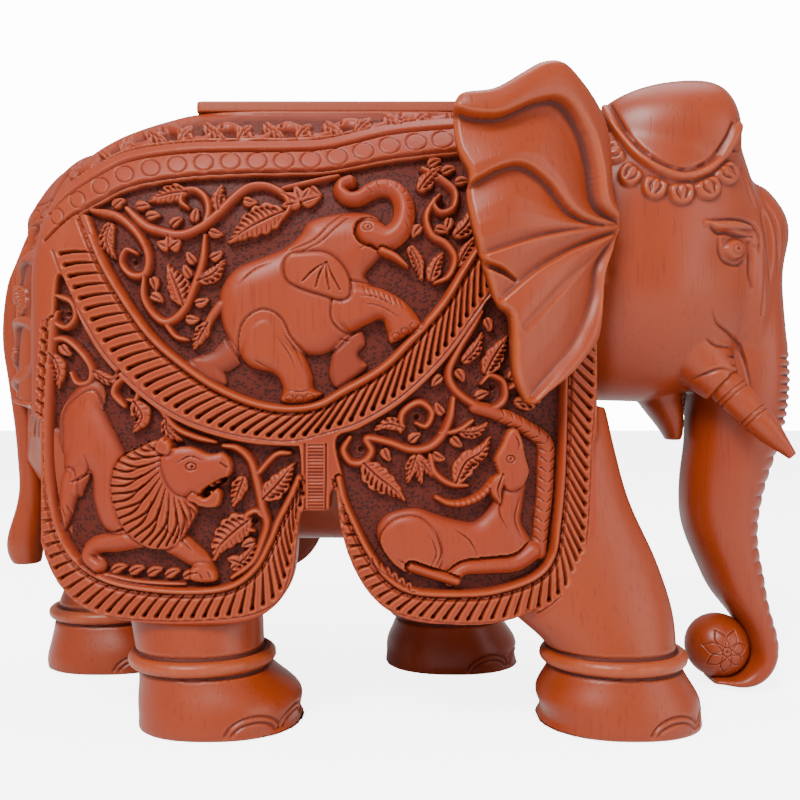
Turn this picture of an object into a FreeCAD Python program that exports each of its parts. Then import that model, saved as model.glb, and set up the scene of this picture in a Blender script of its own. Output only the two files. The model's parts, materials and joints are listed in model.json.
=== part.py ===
import FreeCAD, Part
import math
import os
from FreeCAD import Vector

# A standing elephant figurine in carved wood, 6 inches high, wearing a relief-carved caparison.
# It faces +X, +Z is up and the origin is on the floor under the middle of the overall box.
# Lengths are millimetres and angles are degrees. "Side" is -1 for the right and +1 for the left.

# ---- driving dimensions: trunk of the body -------------------------------------------------
body_half_width = 40.0      # flank of the caparison from the middle plane
back_height = 142.6         # top of the back, where the seat plate is glued
belly_height = 38.0         # underside of the belly
neck_x = 46.0               # flat glue face between the body block and the head block
rump_x = -97.0              # furthest point of the rump
crown_over_seat = 3.9       # the arch is taller than the seat and is planed off flat for it
arch_height = 98.0          # the flank is upright below this and arches over above it
arch_power = 2.5            # roundness of the arch
cloth_thickness = 7.0       # thickness of the two hanging flaps on each side
cloth_over_body = 3.0       # how far the cloth stands off the body under it
flap_bottom = 24.0          # lower edge of the flaps

# ---- driving dimensions: legs --------------------------------------------------------------
leg_spread = 26.0           # leg axis from the middle plane
foot_length = 38.0
foot_width = 36.0
ankle_height = 14.5
ankle_width = 29.0
anklet_wire = 1.5           # half thickness of the carved anklet ring
right_front_x = 51.8        # middle of each sole; the right legs stand a step ahead
right_hind_x = -39.7
left_front_x = 16.2
left_hind_x = -79.2

# ---- driving dimensions: head, trunk and ball ----------------------------------------------
head_half_width = 27.0
crown_height = 152.4        # overall height, 6 inches
jaw_height = 73.5
forehead_x = 101.0
ball_radius = 8.2
ball_x = 84.0
ball_height = 10.2
ball_seat_gap = 0.05        # glue gap round the ball

# ---- driving dimensions: glued-on pieces ----------------------------------------------------
ear_thickness = 4.5
ear_rise = 149.6            # top of the ear
ear_drop = 72.6             # tip of the lobe
plate_length = 66.0
plate_width = 40.0
plate_thickness = 2.6
plate_middle_x = -14.5
tusk_length = 26.0
tusk_base_radius = 3.9
tusk_tip_radius = 1.1
tusk_tenon_radius = 2.4
tusk_tenon_length = 8.0
tail_width = 7.0
dowel_radius = 2.0          # ear, tail and plate dowels
neck_dowel_radius = 6.0
neck_dowel_length = 32.0
ball_pin_radius = 1.0
ball_pin_length = 6.0
glue_gap = 0.05             # radial glue clearance round every dowel and tenon
dowel_end_gap = 0.5         # air left past the end of a dowel in a blind hole

os.makedirs("parts", exist_ok=True)


def signed_power(value, power):
    return math.copysign(abs(value) ** power, value)


def oval(centre, along, across, half_along, half_across, power=2.3, count=20):
    """A closed smooth ring in the plane of two unit vectors, squarer as power grows."""
    points = []
    for k in range(count):
        turn = 2 * math.pi * k / count
        a = half_along * signed_power(math.cos(turn), 2 / power)
        b = half_across * signed_power(math.sin(turn), 2 / power)
        points.append(centre + along * a + across * b)
    curve = Part.BSplineCurve()
    curve.interpolate(Points=points, PeriodicFlag=True)
    return Part.Wire(curve.toShape())


def loft(wires):
    return Part.makeLoft(wires, True, False)


def slopes(lengths, values):
    """Slope at each row, chosen so that the curve through the rows never overshoots."""
    steps = [(values[k + 1] - values[k]) / (lengths[k + 1] - lengths[k]) for k in range(len(values) - 1)]
    middle = [2 * a * b / (a + b) if a * b > 0 else 0.0 for a, b in zip(steps, steps[1:])]
    return [steps[0]] + middle + [steps[-1]]


def even_rows(lengths, rows, spacing):
    """Rows at an even spacing on the smooth curve through the given rows."""
    columns = list(zip(*rows))
    tangents = [slopes(lengths, column) for column in columns]
    count = max(3, round((lengths[-1] - lengths[0]) / spacing))
    found = []
    k = 0
    for n in range(count + 1):
        at = lengths[0] + (lengths[-1] - lengths[0]) * n / count
        while k < len(lengths) - 2 and at > lengths[k + 1]:
            k += 1
        gap = lengths[k + 1] - lengths[k]
        t = (at - lengths[k]) / gap
        row = []
        for values, tangent in zip(columns, tangents):
            row.append((1 + 2 * t) * (1 - t) ** 2 * values[k] + t * (1 - t) ** 2 * gap * tangent[k]
                       + t * t * (3 - 2 * t) * values[k + 1] + t * t * (t - 1) * gap * tangent[k + 1])
        found.append(row)
    return found


def path_lengths(rows):
    """Running length of a path whose rows start with x and z."""
    lengths = [0.0]
    for (x0, z0, *_), (x1, z1, *_) in zip(rows, rows[1:]):
        lengths.append(lengths[-1] + math.hypot(x1 - x0, z1 - z0))
    return lengths


def limb(rows, side_y, spacing):
    """A loft along rows of (x, z, lean in degrees, half thickness, half width)."""
    wires = []
    for x, z, lean, thick, wide in even_rows(path_lengths(rows), rows, spacing):
        out = Vector(math.cos(math.radians(lean)), 0, math.sin(math.radians(lean)))
        wires.append(oval(Vector(x, side_y, z), out, Vector(0, 1, 0), thick, wide))
    return loft(wires)


def smooth_outline(points):
    """A closed face in the XZ plane through (x, z) points, joined by one smooth curve."""
    curve = Part.BSplineCurve()
    curve.interpolate(Points=[Vector(x, 0, z) for x, z in points], PeriodicFlag=True)
    return Part.Face(Part.Wire(curve.toShape()))


def across_body(face, from_y, to_y):
    face.translate(Vector(0, from_y, 0))
    return face.extrude(Vector(0, to_y - from_y, 0))


def rod(radius, start, end):
    return Part.makeCylinder(radius, (end - start).Length, start, end - start)


def mirrored(shape):
    return shape.mirror(Vector(0, 0, 0), Vector(0, 1, 0))


def largest(shape):
    return max(shape.Solids, key=lambda solid: solid.Volume)


# ---- body: the envelope of cloth and trunk --------------------------------------------------
# (x as a share from rump to neck, half width as a share, drop of the back in millimetres)
envelope_stations = [
    (0.000, 0.36, 40.0),
    (0.030, 0.53, 33.5),
    (0.060, 0.66, 27.5),
    (0.095, 0.77, 21.5),
    (0.126, 0.83, 16.5),
    (0.157, 0.88, 12.0),
    (0.200, 0.92, 8.0),
    (0.266, 0.97, 4.2),
    (0.360, 1.00, 1.0),
    (0.450, 1.00, 0.0),
    (0.700, 1.00, 0.0),
    (0.860, 0.94, 0.2),
    (1.000, 0.84, 1.6),
]


def station_x(share):
    return rump_x + share * (neck_x - rump_x)


def arch_points(x, half_width, top, floor):
    """Points up one upright flank, over the back and down the other."""
    rise = top - arch_height
    steps = 14
    right = [(half_width, floor + (arch_height - floor) * k / 5) for k in range(5)]
    over = []
    for k in range(steps + 1):
        turn = math.pi * k / steps
        y = half_width * signed_power(math.cos(turn), 2 / arch_power)
        z = arch_height + rise * abs(math.sin(turn)) ** (2 / arch_power)
        over.append((y, z))
    left = [(-y, z) for y, z in reversed(right)]
    return [Vector(x, y, z) for y, z in right + over + left]


def arch_wire(share, width_share, drop, floor=flap_bottom - 6):
    x = station_x(share)
    half_width = width_share * body_half_width
    points = arch_points(x, half_width, back_height + crown_over_seat - drop, floor)
    curve = Part.BSplineCurve()
    curve.interpolate(Points=points)
    return Part.Wire([curve.toShape(), Part.makeLine(points[-1], points[0])])


def cloth_envelope():
    shares = [share for share, width, drop in envelope_stations]
    return loft([arch_wire(*row) for row in even_rows(shares, envelope_stations, 0.05)])


def upper_cloth_region():
    """Side view of the cloth above the flaps, with the girth strap between them."""
    points = [
        (rump_x - 10, 76), (-84, 70), (-60, 62), (-30, 60), (-21, 58), (-20, 49),
        (-14, 49), (-13, 58), (0, 60), (neck_x + 5, 66), (neck_x + 5, 170), (rump_x - 10, 170),
    ]
    corners = [Vector(x, 0, z) for x, z in points]
    return Part.Face(Part.makePolygon(corners + corners[:1]))


def rear_flap_region():
    return smooth_outline([
        (-83, 80), (-83, 58), (-80, 42), (-72, 29), (-58, flap_bottom + 0.6),
        (-43, flap_bottom), (-28, 26.5), (-22.6, 33), (-21, 44), (-19.5, 56),
        (-22, 74), (-50, 82),
    ])


def front_flap_region():
    return smooth_outline([
        (-11, 70), (-12.2, 50), (-9, 37), (-1, 27), (12, flap_bottom),
        (25, flap_bottom + 0.4), (37, 31), (42.5, 44), (44.5, 60), (45.4, 78), (16, 84),
    ])


def body_core():
    """The animal's own trunk under the cloth, down to the belly."""
    stations = [
        (0.02, 0.38, 0.62), (0.07, 0.60, 0.82), (0.17, 0.80, 0.94), (0.34, 0.92, 1.0),
        (0.66, 0.92, 1.0), (0.86, 0.86, 0.94), (0.999, 0.74, 0.80),
    ]
    middle = (belly_height + back_height) / 2
    half_height = (back_height - cloth_over_body - belly_height) / 2
    wires = []
    for share, width, height in even_rows([row[0] for row in stations], stations, 0.07):
        wires.append(oval(Vector(station_x(share), 0, middle - 1), Vector(0, 1, 0), Vector(0, 0, 1),
                          width * body_half_width, height * half_height, power=2.5))
    return loft(wires)


# ---- legs -----------------------------------------------------------------------------------
def leg(side, sole_x, ankle_x, upper):
    """A leg from its flared foot up into the trunk; upper is (z, x, half length, half width)."""
    rows = [
        (sole_x, 0.0, 0, foot_length / 2, foot_width / 2),
        (sole_x, 3.0, 0, foot_length / 2, foot_width / 2),
        ((2 * sole_x + ankle_x) / 3, 8.0, 0, foot_length / 2 - 1.8, foot_width / 2 - 1.4),
        (ankle_x, ankle_height, 0, ankle_width / 2, ankle_width / 2),
    ] + [(x, z, 0, long, wide) for z, x, long, wide in upper]
    return limb(rows, side * leg_spread, 5.0)


def anklet(side, ankle_x):
    ring = Part.makeTorus(ankle_width / 2 + 0.3, anklet_wire)
    ring.translate(Vector(ankle_x, side * leg_spread, ankle_height))
    return ring


leg_layout = [
    (-1, right_front_x, right_front_x - 0.9,
     [(27.0, 44.4, 19.6, 11.6), (36.0, 40.0, 21.0, 10.2), (52.0, 35.0, 19.0, 9.0),
      (72.0, 32.0, 17.0, 8.0)]),
    (-1, right_hind_x, right_hind_x - 4.7,
     [(27.0, -46.2, 15.4, 11.6), (36.0, -49.0, 17.5, 10.2), (52.0, -52.0, 20.0, 9.0),
      (72.0, -55.0, 20.0, 8.0)]),
    (1, left_front_x, left_front_x - 0.9,
     [(27.0, 16.5, 15.0, 11.6), (36.0, 20.0, 17.5, 10.2), (52.0, 26.0, 19.0, 9.0),
      (72.0, 29.0, 18.0, 8.0)]),
    (1, left_hind_x, left_hind_x - 2.5,
     [(27.0, -77.5, 14.0, 11.6), (36.0, -74.0, 15.5, 10.2), (52.0, -68.0, 17.5, 9.0),
      (72.0, -64.0, 18.0, 8.0)]),
]


# ---- head and trunk -------------------------------------------------------------------------
def head_core():
    """The skull, jaw and neck as one loft forward from the glue face."""
    rows = [
        (neck_x, 75.5, 141.0, 0.90), (54.0, 73.8, 147.0, 0.99), (64.0, jaw_height, 151.2, 1.0),
        (72.0, 75.0, crown_height, 0.96), (79.0, 77.0, 151.0, 0.86), (84.0, 79.5, 145.0, 0.75),
        (88.0, 82.0, 136.0, 0.66), (92.0, 84.0, 128.0, 0.54),
    ]
    wires = []
    for x, low, high, width in even_rows([row[0] for row in rows], rows, 5.0):
        wires.append(oval(Vector(x, 0, (low + high) / 2), Vector(0, 1, 0), Vector(0, 0, 1),
                          width * head_half_width, (high - low) / 2, power=2.4))
    return loft(wires)


def trunk():
    """The trunk hangs from the face, thins, and curls forward under the ball."""
    rows = [
        (86.0, 128.0, 0, 9.0, 12.0), (89.6, 118.0, 0, 11.6, 14.2), (88.8, 104.0, 0, 10.4, 14.6),
        (89.3, 92.0, 0, 10.8, 14.4), (89.6, 82.0, 0, 11.9, 13.8), (88.8, 72.0, 0, 12.3, 13.2),
        (87.4, 62.0, 0, 11.4, 12.5), (85.1, 52.0, 0, 10.3, 11.8), (84.4, 43.0, 2, 9.3, 11.2),
        (86.0, 35.0, 8, 7.8, 10.7), (88.6, 27.0, 14, 6.7, 10.0),
    ]
    # round the ball: (angle, outer radius, half width)
    for angle, outer, wide in [(40, 15.6, 9.4), (8, 14.8, 9.0), (-24, 14.0, 8.7),
                               (-52, 12.6, 8.2), (-78, ball_height - 0.1, 7.4),
                               (-104, ball_height - 0.4, 6.2)]:
        inner = ball_radius - 0.8
        turn = math.radians(angle)
        middle = (inner + outer) / 2
        rows.append((ball_x + middle * math.cos(turn), ball_height + middle * math.sin(turn),
                     min(angle, 20), (outer - inner) / 2, wide))
    return limb(rows, 0, 6.0)


def lower_lip():
    rows = [(66.0, 84.0, 0, 7.0, 9.5), (68.0, 76.0, 0, 5.8, 8.6), (71.0, 69.0, 0, 3.8, 6.5),
            (72.5, 63.5, 0, 1.8, 3.6)]
    return limb(rows, 0, 5.0)


# ---- tusks ----------------------------------------------------------------------------------
def tusk_frame(side):
    root = Vector(78.5, side * 15.5, 79.5)
    heading = Vector(0.60, side * 0.30, -0.74).normalize()
    return root, heading


def tusk(side):
    """A turned peg: a tenon for the socket in the lip, a shoulder, then the taper."""
    root, heading = tusk_frame(side)
    points = [
        (0, -tusk_tenon_length), (tusk_tenon_radius, -tusk_tenon_length),
        (tusk_tenon_radius, 0), (tusk_base_radius, 0),
        (tusk_base_radius * 0.93, tusk_length * 0.35), (tusk_base_radius * 0.66, tusk_length * 0.72),
        (tusk_tip_radius, tusk_length), (0, tusk_length),
    ]
    outline = Part.makePolygon([Vector(r, 0, h) for r, h in points + points[:1]])
    solid = Part.Face(outline).revolve(Vector(0, 0, 0), Vector(0, 0, 1), 360)
    turn = FreeCAD.Rotation(Vector(0, 0, 1), heading)
    solid.Placement = FreeCAD.Placement(root, turn)
    return solid


def tusk_socket(side):
    root, heading = tusk_frame(side)
    bore = rod(tusk_tenon_radius + glue_gap, root - heading * (tusk_tenon_length + dowel_end_gap), root)
    counterbore = rod(tusk_base_radius + glue_gap, root, root + heading * 20)
    return bore.fuse(counterbore)


def tusk_sheath(side):
    """The swelling of the lip that holds the tusk's root."""
    root, heading = tusk_frame(side)
    outer = Part.makeCone(tusk_base_radius + 3.6, tusk_base_radius + 1.6, 10.0,
                          root - heading * 7.0, heading)
    return outer


# ---- ears -----------------------------------------------------------------------------------
def ear_band():
    """Plan of the right ear's leaf, bowed out over the shoulder, as an upright slab."""
    outer = [Vector(53.0, -27.0, 0), Vector(46.0, -34.5, 0), Vector(35.0, -41.5, 0),
             Vector(22.0, -45.3, 0), Vector(8.0, -45.8, 0)]
    inner = [Vector(p.x - 1.0, p.y + ear_thickness, 0) for p in outer]
    inner[0] = Vector(49.0, -23.0, 0)
    first, second = Part.BSplineCurve(), Part.BSplineCurve()
    first.interpolate(Points=outer)
    second.interpolate(Points=inner)
    edges = [first.toShape(), Part.makeLine(outer[-1], inner[-1]), second.toShape(),
             Part.makeLine(inner[0], outer[0])]
    face = Part.Face(Part.Wire(Part.__sortEdges__(edges)))
    face.translate(Vector(0, 0, ear_drop - 5))
    return face.extrude(Vector(0, 0, ear_rise - ear_drop + 10))


def ear_region():
    """Side view of the ear: a broad leaf from the root down to the lobe and up past the back."""
    return smooth_outline([
        (51.0, 111.0), (49.5, 128.0), (46.5, 138.0), (41.0, 146.5), (35.0, ear_rise),
        (28.0, 146.5), (20.0, 143.0), (13.5, 141.0), (13.0, 134.0), (16.5, 124.0),
        (17.5, 112.0), (20.0, 101.0), (25.0, 90.0), (27.0, 80.0), (29.5, ear_drop),
        (36.0, 77.0), (43.0, 85.0), (46.5, 97.0),
    ])


def ear(side):
    leaf = across_body(ear_region(), -60, -15).common(ear_band())
    return leaf if side < 0 else mirrored(leaf)


# just forward of the neck's glue face, across the joint between temple and ear
ear_dowel_x = neck_x + dowel_radius + 0.8


def ear_dowel_ends(side, height):
    return Vector(ear_dowel_x, side * 17.0, height), Vector(ear_dowel_x, side * 29.5, height)


ear_dowel_heights = (103.0, 119.0)


# ---- tail, plate and ball -------------------------------------------------------------------
def tail():
    """A flat-backed rope lying down the rump, ending in a flared tuft clear of the leg."""
    rows = [
        (-84.5, 126.5, 45, 2.6, 4.4), (-90.4, 121.0, 35, 2.8, 4.4), (-95.6, 109.0, 15, 3.0, 4.2),
        (-98.3, 98.0, 5, 3.1, 3.8), (-98.6, 90.0, 0, 3.1, 3.5), (-97.0, 77.0, 0, 3.0, 3.4),
        (-95.2, 62.0, 0, 2.9, 3.3), (-94.4, 50.0, 0, 3.0, 3.4), (-95.4, 42.0, 0, 4.0, 4.4),
        (-96.2, 36.0, 0, 4.4, 5.0), (-95.6, 31.5, 0, 3.2, 3.8),
    ]
    return limb([(x, z, lean, thick, wide * tail_width / 7) for x, z, lean, thick, wide in rows], 0, 7.0)


tail_tenon_start = Vector(-96.0, 0, 104.0)
tail_tenon_end = Vector(-86.0, 0, 104.0)

seat_middle = Vector(plate_middle_x, 0, back_height)


def plate():
    board = Part.makeBox(plate_length, plate_width, plate_thickness,
                         seat_middle - Vector(plate_length / 2, plate_width / 2, 0))
    upright = [edge for edge in board.Edges if abs(edge.tangentAt(0).z) > 0.9]
    return board.makeFillet(1.2, upright)


def plate_dowel_ends(offset):
    foot = seat_middle + Vector(offset, 0, -8.0)
    return foot, foot + Vector(0, 0, 8.0 + plate_thickness - 1.0)


plate_dowel_offsets = (-plate_length / 4, plate_length / 4)
ball_centre = Vector(ball_x, 0, ball_height)
ball_pin_heading = Vector(math.cos(math.radians(25)), 0, math.sin(math.radians(25)))
ball_pin_start = ball_centre + ball_pin_heading * (ball_radius - ball_pin_length / 2)
ball_pin_end = ball_centre + ball_pin_heading * (ball_radius + ball_pin_length / 2)


def hole(radius, start, end):
    along = (end - start).normalize()
    return rod(radius + glue_gap, start - along * dowel_end_gap, end + along * dowel_end_gap)


# ---- assembly -------------------------------------------------------------------------------
def make_body():
    cloth = cloth_envelope().common(across_body(upper_cloth_region(), -70, 70))
    flaps = cloth_envelope().common(
        across_body(rear_flap_region(), -70, 70).fuse(across_body(front_flap_region(), -70, 70)))
    between = Part.makeBox(200, 2 * (body_half_width - cloth_thickness), 70,
                           Vector(rump_x - 20, -(body_half_width - cloth_thickness), 0))
    flaps = flaps.cut(between)
    below = Part.makeBox(200, 200, belly_height + 26, Vector(rump_x - 20, -100, 0))
    inner = Part.makeBox(200, 2 * (body_half_width - cloth_thickness), belly_height + 26,
                         Vector(rump_x - 20, -(body_half_width - cloth_thickness), 0))
    cloth = cloth.cut(below.common(inner))
    solid = cloth.fuse([flaps, body_core()])
    for side, sole_x, ankle_x, upper in leg_layout:
        solid = solid.fuse([leg(side, sole_x, ankle_x, upper), anklet(side, ankle_x)])
    flat_top = Part.makeBox(300, 100, 20, Vector(-150, -50, back_height))
    return solid.cut(flat_top)


def make_head():
    pieces = [trunk(), lower_lip(), tusk_sheath(-1), tusk_sheath(1)]
    solid = head_core().fuse(pieces)
    behind = Part.makeBox(60, 120, 200, Vector(neck_x - 60, -60, -20))
    under = Part.makeBox(300, 120, 20, Vector(-150, -60, -20))
    return solid.cut(behind).cut(under)


body = make_body()
head = make_head()
neck_dowel = rod(neck_dowel_radius, Vector(neck_x - neck_dowel_length / 2, 0, 108),
                 Vector(neck_x + neck_dowel_length / 2, 0, 108))
neck_hole = hole(neck_dowel_radius, Vector(neck_x - neck_dowel_length / 2, 0, 108),
                 Vector(neck_x + neck_dowel_length / 2, 0, 108))
ball = Part.makeSphere(ball_radius, ball_centre)
ball_seat = Part.makeSphere(ball_radius + ball_seat_gap, ball_centre)
ball_pin = rod(ball_pin_radius, ball_pin_start, ball_pin_end)
ball_pin_hole = hole(ball_pin_radius, ball_pin_start, ball_pin_end)
tail_tenon = rod(dowel_radius, tail_tenon_start, tail_tenon_end)
tail_hole = hole(dowel_radius, tail_tenon_start, tail_tenon_end)
plate_dowels = [rod(dowel_radius, *plate_dowel_ends(offset)) for offset in plate_dowel_offsets]
plate_holes = [hole(dowel_radius, *plate_dowel_ends(offset)) for offset in plate_dowel_offsets]

body = largest(body.cut(neck_hole).cut(tail_hole).cut(plate_holes[0]).cut(plate_holes[1]))
head = head.cut(neck_hole).cut(ball_seat).cut(ball_pin_hole)
ears, ear_dowels = {}, []
for side in (-1, 1):
    head = head.cut(tusk_socket(side))
    leaf = ear(side).cut(head).cut(body)
    for height in ear_dowel_heights:
        bore = hole(dowel_radius, *ear_dowel_ends(side, height))
        head = head.cut(bore)
        leaf = leaf.cut(bore)
        ear_dowels.append(rod(dowel_radius, *ear_dowel_ends(side, height)))
    ears[side] = largest(leaf)
head = largest(head)

nodes = {
    "body_block": body,
    "head_block": head,
    "neck_dowel": neck_dowel,
    "ear_right": ears[-1],
    "ear_left": ears[1],
    "ear_dowels": Part.makeCompound(ear_dowels),
    "tusk_right": tusk(-1),
    "tusk_left": tusk(1),
    "trunk_ball": ball.cut(ball_pin_hole),
    "ball_pin": ball_pin,
    "tail": largest(tail().cut(body).fuse(tail_tenon)),
    "back_plate": plate().cut(plate_holes[0]).cut(plate_holes[1]),
    "plate_dowels": Part.makeCompound(plate_dowels),
}

whole = Part.makeCompound(list(nodes.values())).optimalBoundingBox(False, False)
to_origin = Vector(-(whole.XMin + whole.XMax) / 2, -(whole.YMin + whole.YMax) / 2, -whole.ZMin)
print("overall", whole, "shift", to_origin)
for name, shape in nodes.items():
    placed = shape.copy()
    placed.translate(to_origin)
    placed.exportStep("parts/" + name + ".step")
    print(name, "solids", len(placed.Solids), "valid", placed.isValid(), "volume", round(placed.Volume))
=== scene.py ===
import json
import math

import bmesh
import bpy
import numpy as np
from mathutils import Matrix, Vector
from mathutils.bvhtree import BVHTree

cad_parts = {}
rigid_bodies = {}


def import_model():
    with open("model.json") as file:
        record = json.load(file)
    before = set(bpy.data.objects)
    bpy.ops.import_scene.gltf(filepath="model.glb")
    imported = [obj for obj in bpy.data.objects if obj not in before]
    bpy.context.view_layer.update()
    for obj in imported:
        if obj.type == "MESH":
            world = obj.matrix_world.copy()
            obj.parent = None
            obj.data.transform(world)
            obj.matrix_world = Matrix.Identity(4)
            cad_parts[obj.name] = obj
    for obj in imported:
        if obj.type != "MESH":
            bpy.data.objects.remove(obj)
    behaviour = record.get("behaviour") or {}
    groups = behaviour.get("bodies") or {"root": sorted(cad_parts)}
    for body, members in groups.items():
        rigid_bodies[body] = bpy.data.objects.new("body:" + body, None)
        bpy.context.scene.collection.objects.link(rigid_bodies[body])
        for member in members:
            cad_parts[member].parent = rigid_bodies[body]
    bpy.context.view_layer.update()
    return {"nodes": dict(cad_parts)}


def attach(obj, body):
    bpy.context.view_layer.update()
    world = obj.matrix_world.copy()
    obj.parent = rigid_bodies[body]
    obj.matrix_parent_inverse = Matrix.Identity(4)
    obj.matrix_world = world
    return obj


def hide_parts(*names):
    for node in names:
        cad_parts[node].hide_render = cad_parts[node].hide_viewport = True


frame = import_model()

mm = 0.001

# how the drawings are thrown on: an eye at the elephant's side looks through a flat card held
# at the flank, and what is drawn on the card lands where the line of sight meets the surface
eye = {"x": 1.5, "z": 70.0, "distance": 245.0, "card": 207.0}


# meshes as arrays, in millimetres
def addPiece(name, mesh):
    piece = bpy.data.objects.new(name, mesh)
    bpy.context.scene.collection.objects.link(piece)
    mesh.shade_smooth()
    return piece


def readPoints(mesh):
    flat = np.empty(len(mesh.vertices) * 3)
    mesh.vertices.foreach_get("co", flat)
    return flat.reshape(-1, 3) / mm


def writePoints(mesh, points):
    mesh.vertices.foreach_set("co", (points * mm).ravel())
    mesh.update()


def readNormals(mesh):
    flat = np.empty(len(mesh.vertices) * 3)
    mesh.vertices.foreach_get("normal", flat)
    return flat.reshape(-1, 3)


def readEdges(mesh):
    flat = np.empty(len(mesh.edges) * 2, dtype=np.int32)
    mesh.edges.foreach_get("vertices", flat)
    return flat.reshape(-1, 2)


def neighbourMean(values, edges):
    count = np.bincount(edges.ravel(), minlength=len(values)).astype(float)
    count[count == 0] = 1
    found = np.empty_like(values)
    for k in range(values.shape[1]):
        found[:, k] = (np.bincount(edges[:, 0], values[edges[:, 1], k], len(values))
                       + np.bincount(edges[:, 1], values[edges[:, 0], k], len(values)))
    return found / count[:, None]


def relax(points, edges, times, strength=0.5):
    for _ in range(times):
        points = points + strength * (neighbourMean(points, edges) - points)
    return points


def mergedCopy(name, nodes):
    shape = bmesh.new()
    for node in nodes:
        shape.from_mesh(frame["nodes"][node].data)
    bmesh.ops.remove_doubles(shape, verts=shape.verts, dist=1e-6)
    mesh = bpy.data.meshes.new(name)
    shape.to_mesh(mesh)
    shape.free()
    return addPiece(name, mesh)


def remesh(piece, voxel):
    change = piece.modifiers.new("remesh", "REMESH")
    change.mode = "VOXEL"
    change.voxel_size = voxel * mm
    found = bpy.data.meshes.new_from_object(piece.evaluated_get(bpy.context.evaluated_depsgraph_get()))
    piece.modifiers.clear()
    piece.data = found
    found.name = piece.name
    found.shade_smooth()
    return piece


def store(mesh, name, values):
    field = mesh.attributes.get(name) or mesh.attributes.new(name, "FLOAT", "POINT")
    field.data.foreach_set("value", np.asarray(values, dtype=np.float32))


def markHollows(piece, spacing, depth=None):
    # stores how hollow (1), level (0.5) or raised (0) each point is, at a fine and a broad scale, for
    # painted shade and painted highlight
    mesh = piece.data
    points, normals, edges = readPoints(mesh), readNormals(mesh), readEdges(mesh)
    fine = relax(points, edges, 4)
    broad = relax(fine, edges, 24)
    store(mesh, "fine", np.clip(0.5 + ((fine - points) * normals).sum(1) / (0.30 * spacing), 0, 1))
    store(mesh, "broad", np.clip(0.5 + ((broad - points) * normals).sum(1) / (1.6 * spacing), 0, 1))
    store(mesh, "depth", np.zeros(len(points)) if depth is None else depth)


def faceCentres(mesh):
    flat = np.empty(len(mesh.polygons) * 3)
    mesh.polygons.foreach_get("center", flat)
    return flat.reshape(-1, 3) / mm


def dropPiece(piece):
    bpy.data.objects.remove(piece, do_unlink=True)


# drawings
def smooth(points, closed=False, step=0.5):
    # a curve through the points, cut into short even steps
    given = np.array(points, dtype=float)
    if len(given) == 2 and not closed:
        count = max(2, int(np.hypot(*(given[1] - given[0])) / step) + 1)
        share = np.linspace(0, 1, count)[:, None]
        return given[0] * (1 - share) + given[1] * share
    if closed:
        framed = np.vstack([given[-1:], given, given[:2]])
    else:
        framed = np.vstack([2 * given[0] - given[1], given, 2 * given[-1] - given[-2]])
    found = []
    for k in range(len(framed) - 3):
        a, b, c, d = framed[k:k + 4]
        count = max(2, int(np.hypot(*(c - b)) / step) + 1)
        t = np.linspace(0, 1, count, endpoint=False)[:, None]
        found.append(0.5 * (2 * b + (c - a) * t + (2 * a - 5 * b + 4 * c - d) * t ** 2
                            + (3 * b - a - 3 * c + d) * t ** 3))
    if not closed:
        found.append(framed[-2][None])
    return np.vstack(found)


def pointAt(path, share):
    # a point and heading at a share of a path's length
    steps = np.hypot(*np.diff(path, axis=0).T)
    length = np.concatenate([[0], np.cumsum(steps)])
    at = np.clip(share, 0, 1) * length[-1]
    k = min(np.searchsorted(length, at, side="right") - 1, len(path) - 2)
    t = (at - length[k]) / max(steps[k], 1e-9)
    ahead = (path[k + 1] - path[k]) / max(steps[k], 1e-9)
    return path[k] * (1 - t) + path[k + 1] * t, ahead


def isInside(outline, X, Z):
    hit = np.zeros(X.shape, dtype=bool)
    for (x0, z0), (x1, z1) in zip(outline, np.roll(outline, -1, axis=0)):
        if z0 != z1:
            crosses = (z0 > Z) != (z1 > Z)
            hit ^= crosses & (X < (x1 - x0) * (Z - z0) / (z1 - z0) + x0)
    return hit


def gapTo(path, X, Z):
    # distance from every cell to a path
    best = np.full(X.shape, 1e9)
    for a, b in zip(path[:-1], path[1:]):
        d = b - a
        t = np.clip(((X - a[0]) * d[0] + (Z - a[1]) * d[1]) / max(float(d @ d), 1e-12), 0, 1)
        best = np.minimum(best, np.hypot(X - a[0] - t * d[0], Z - a[1] - t * d[1]))
    return best


def ease(t):
    t = np.clip(t, 0, 1)
    return t * t * (3 - 2 * t)


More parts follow.
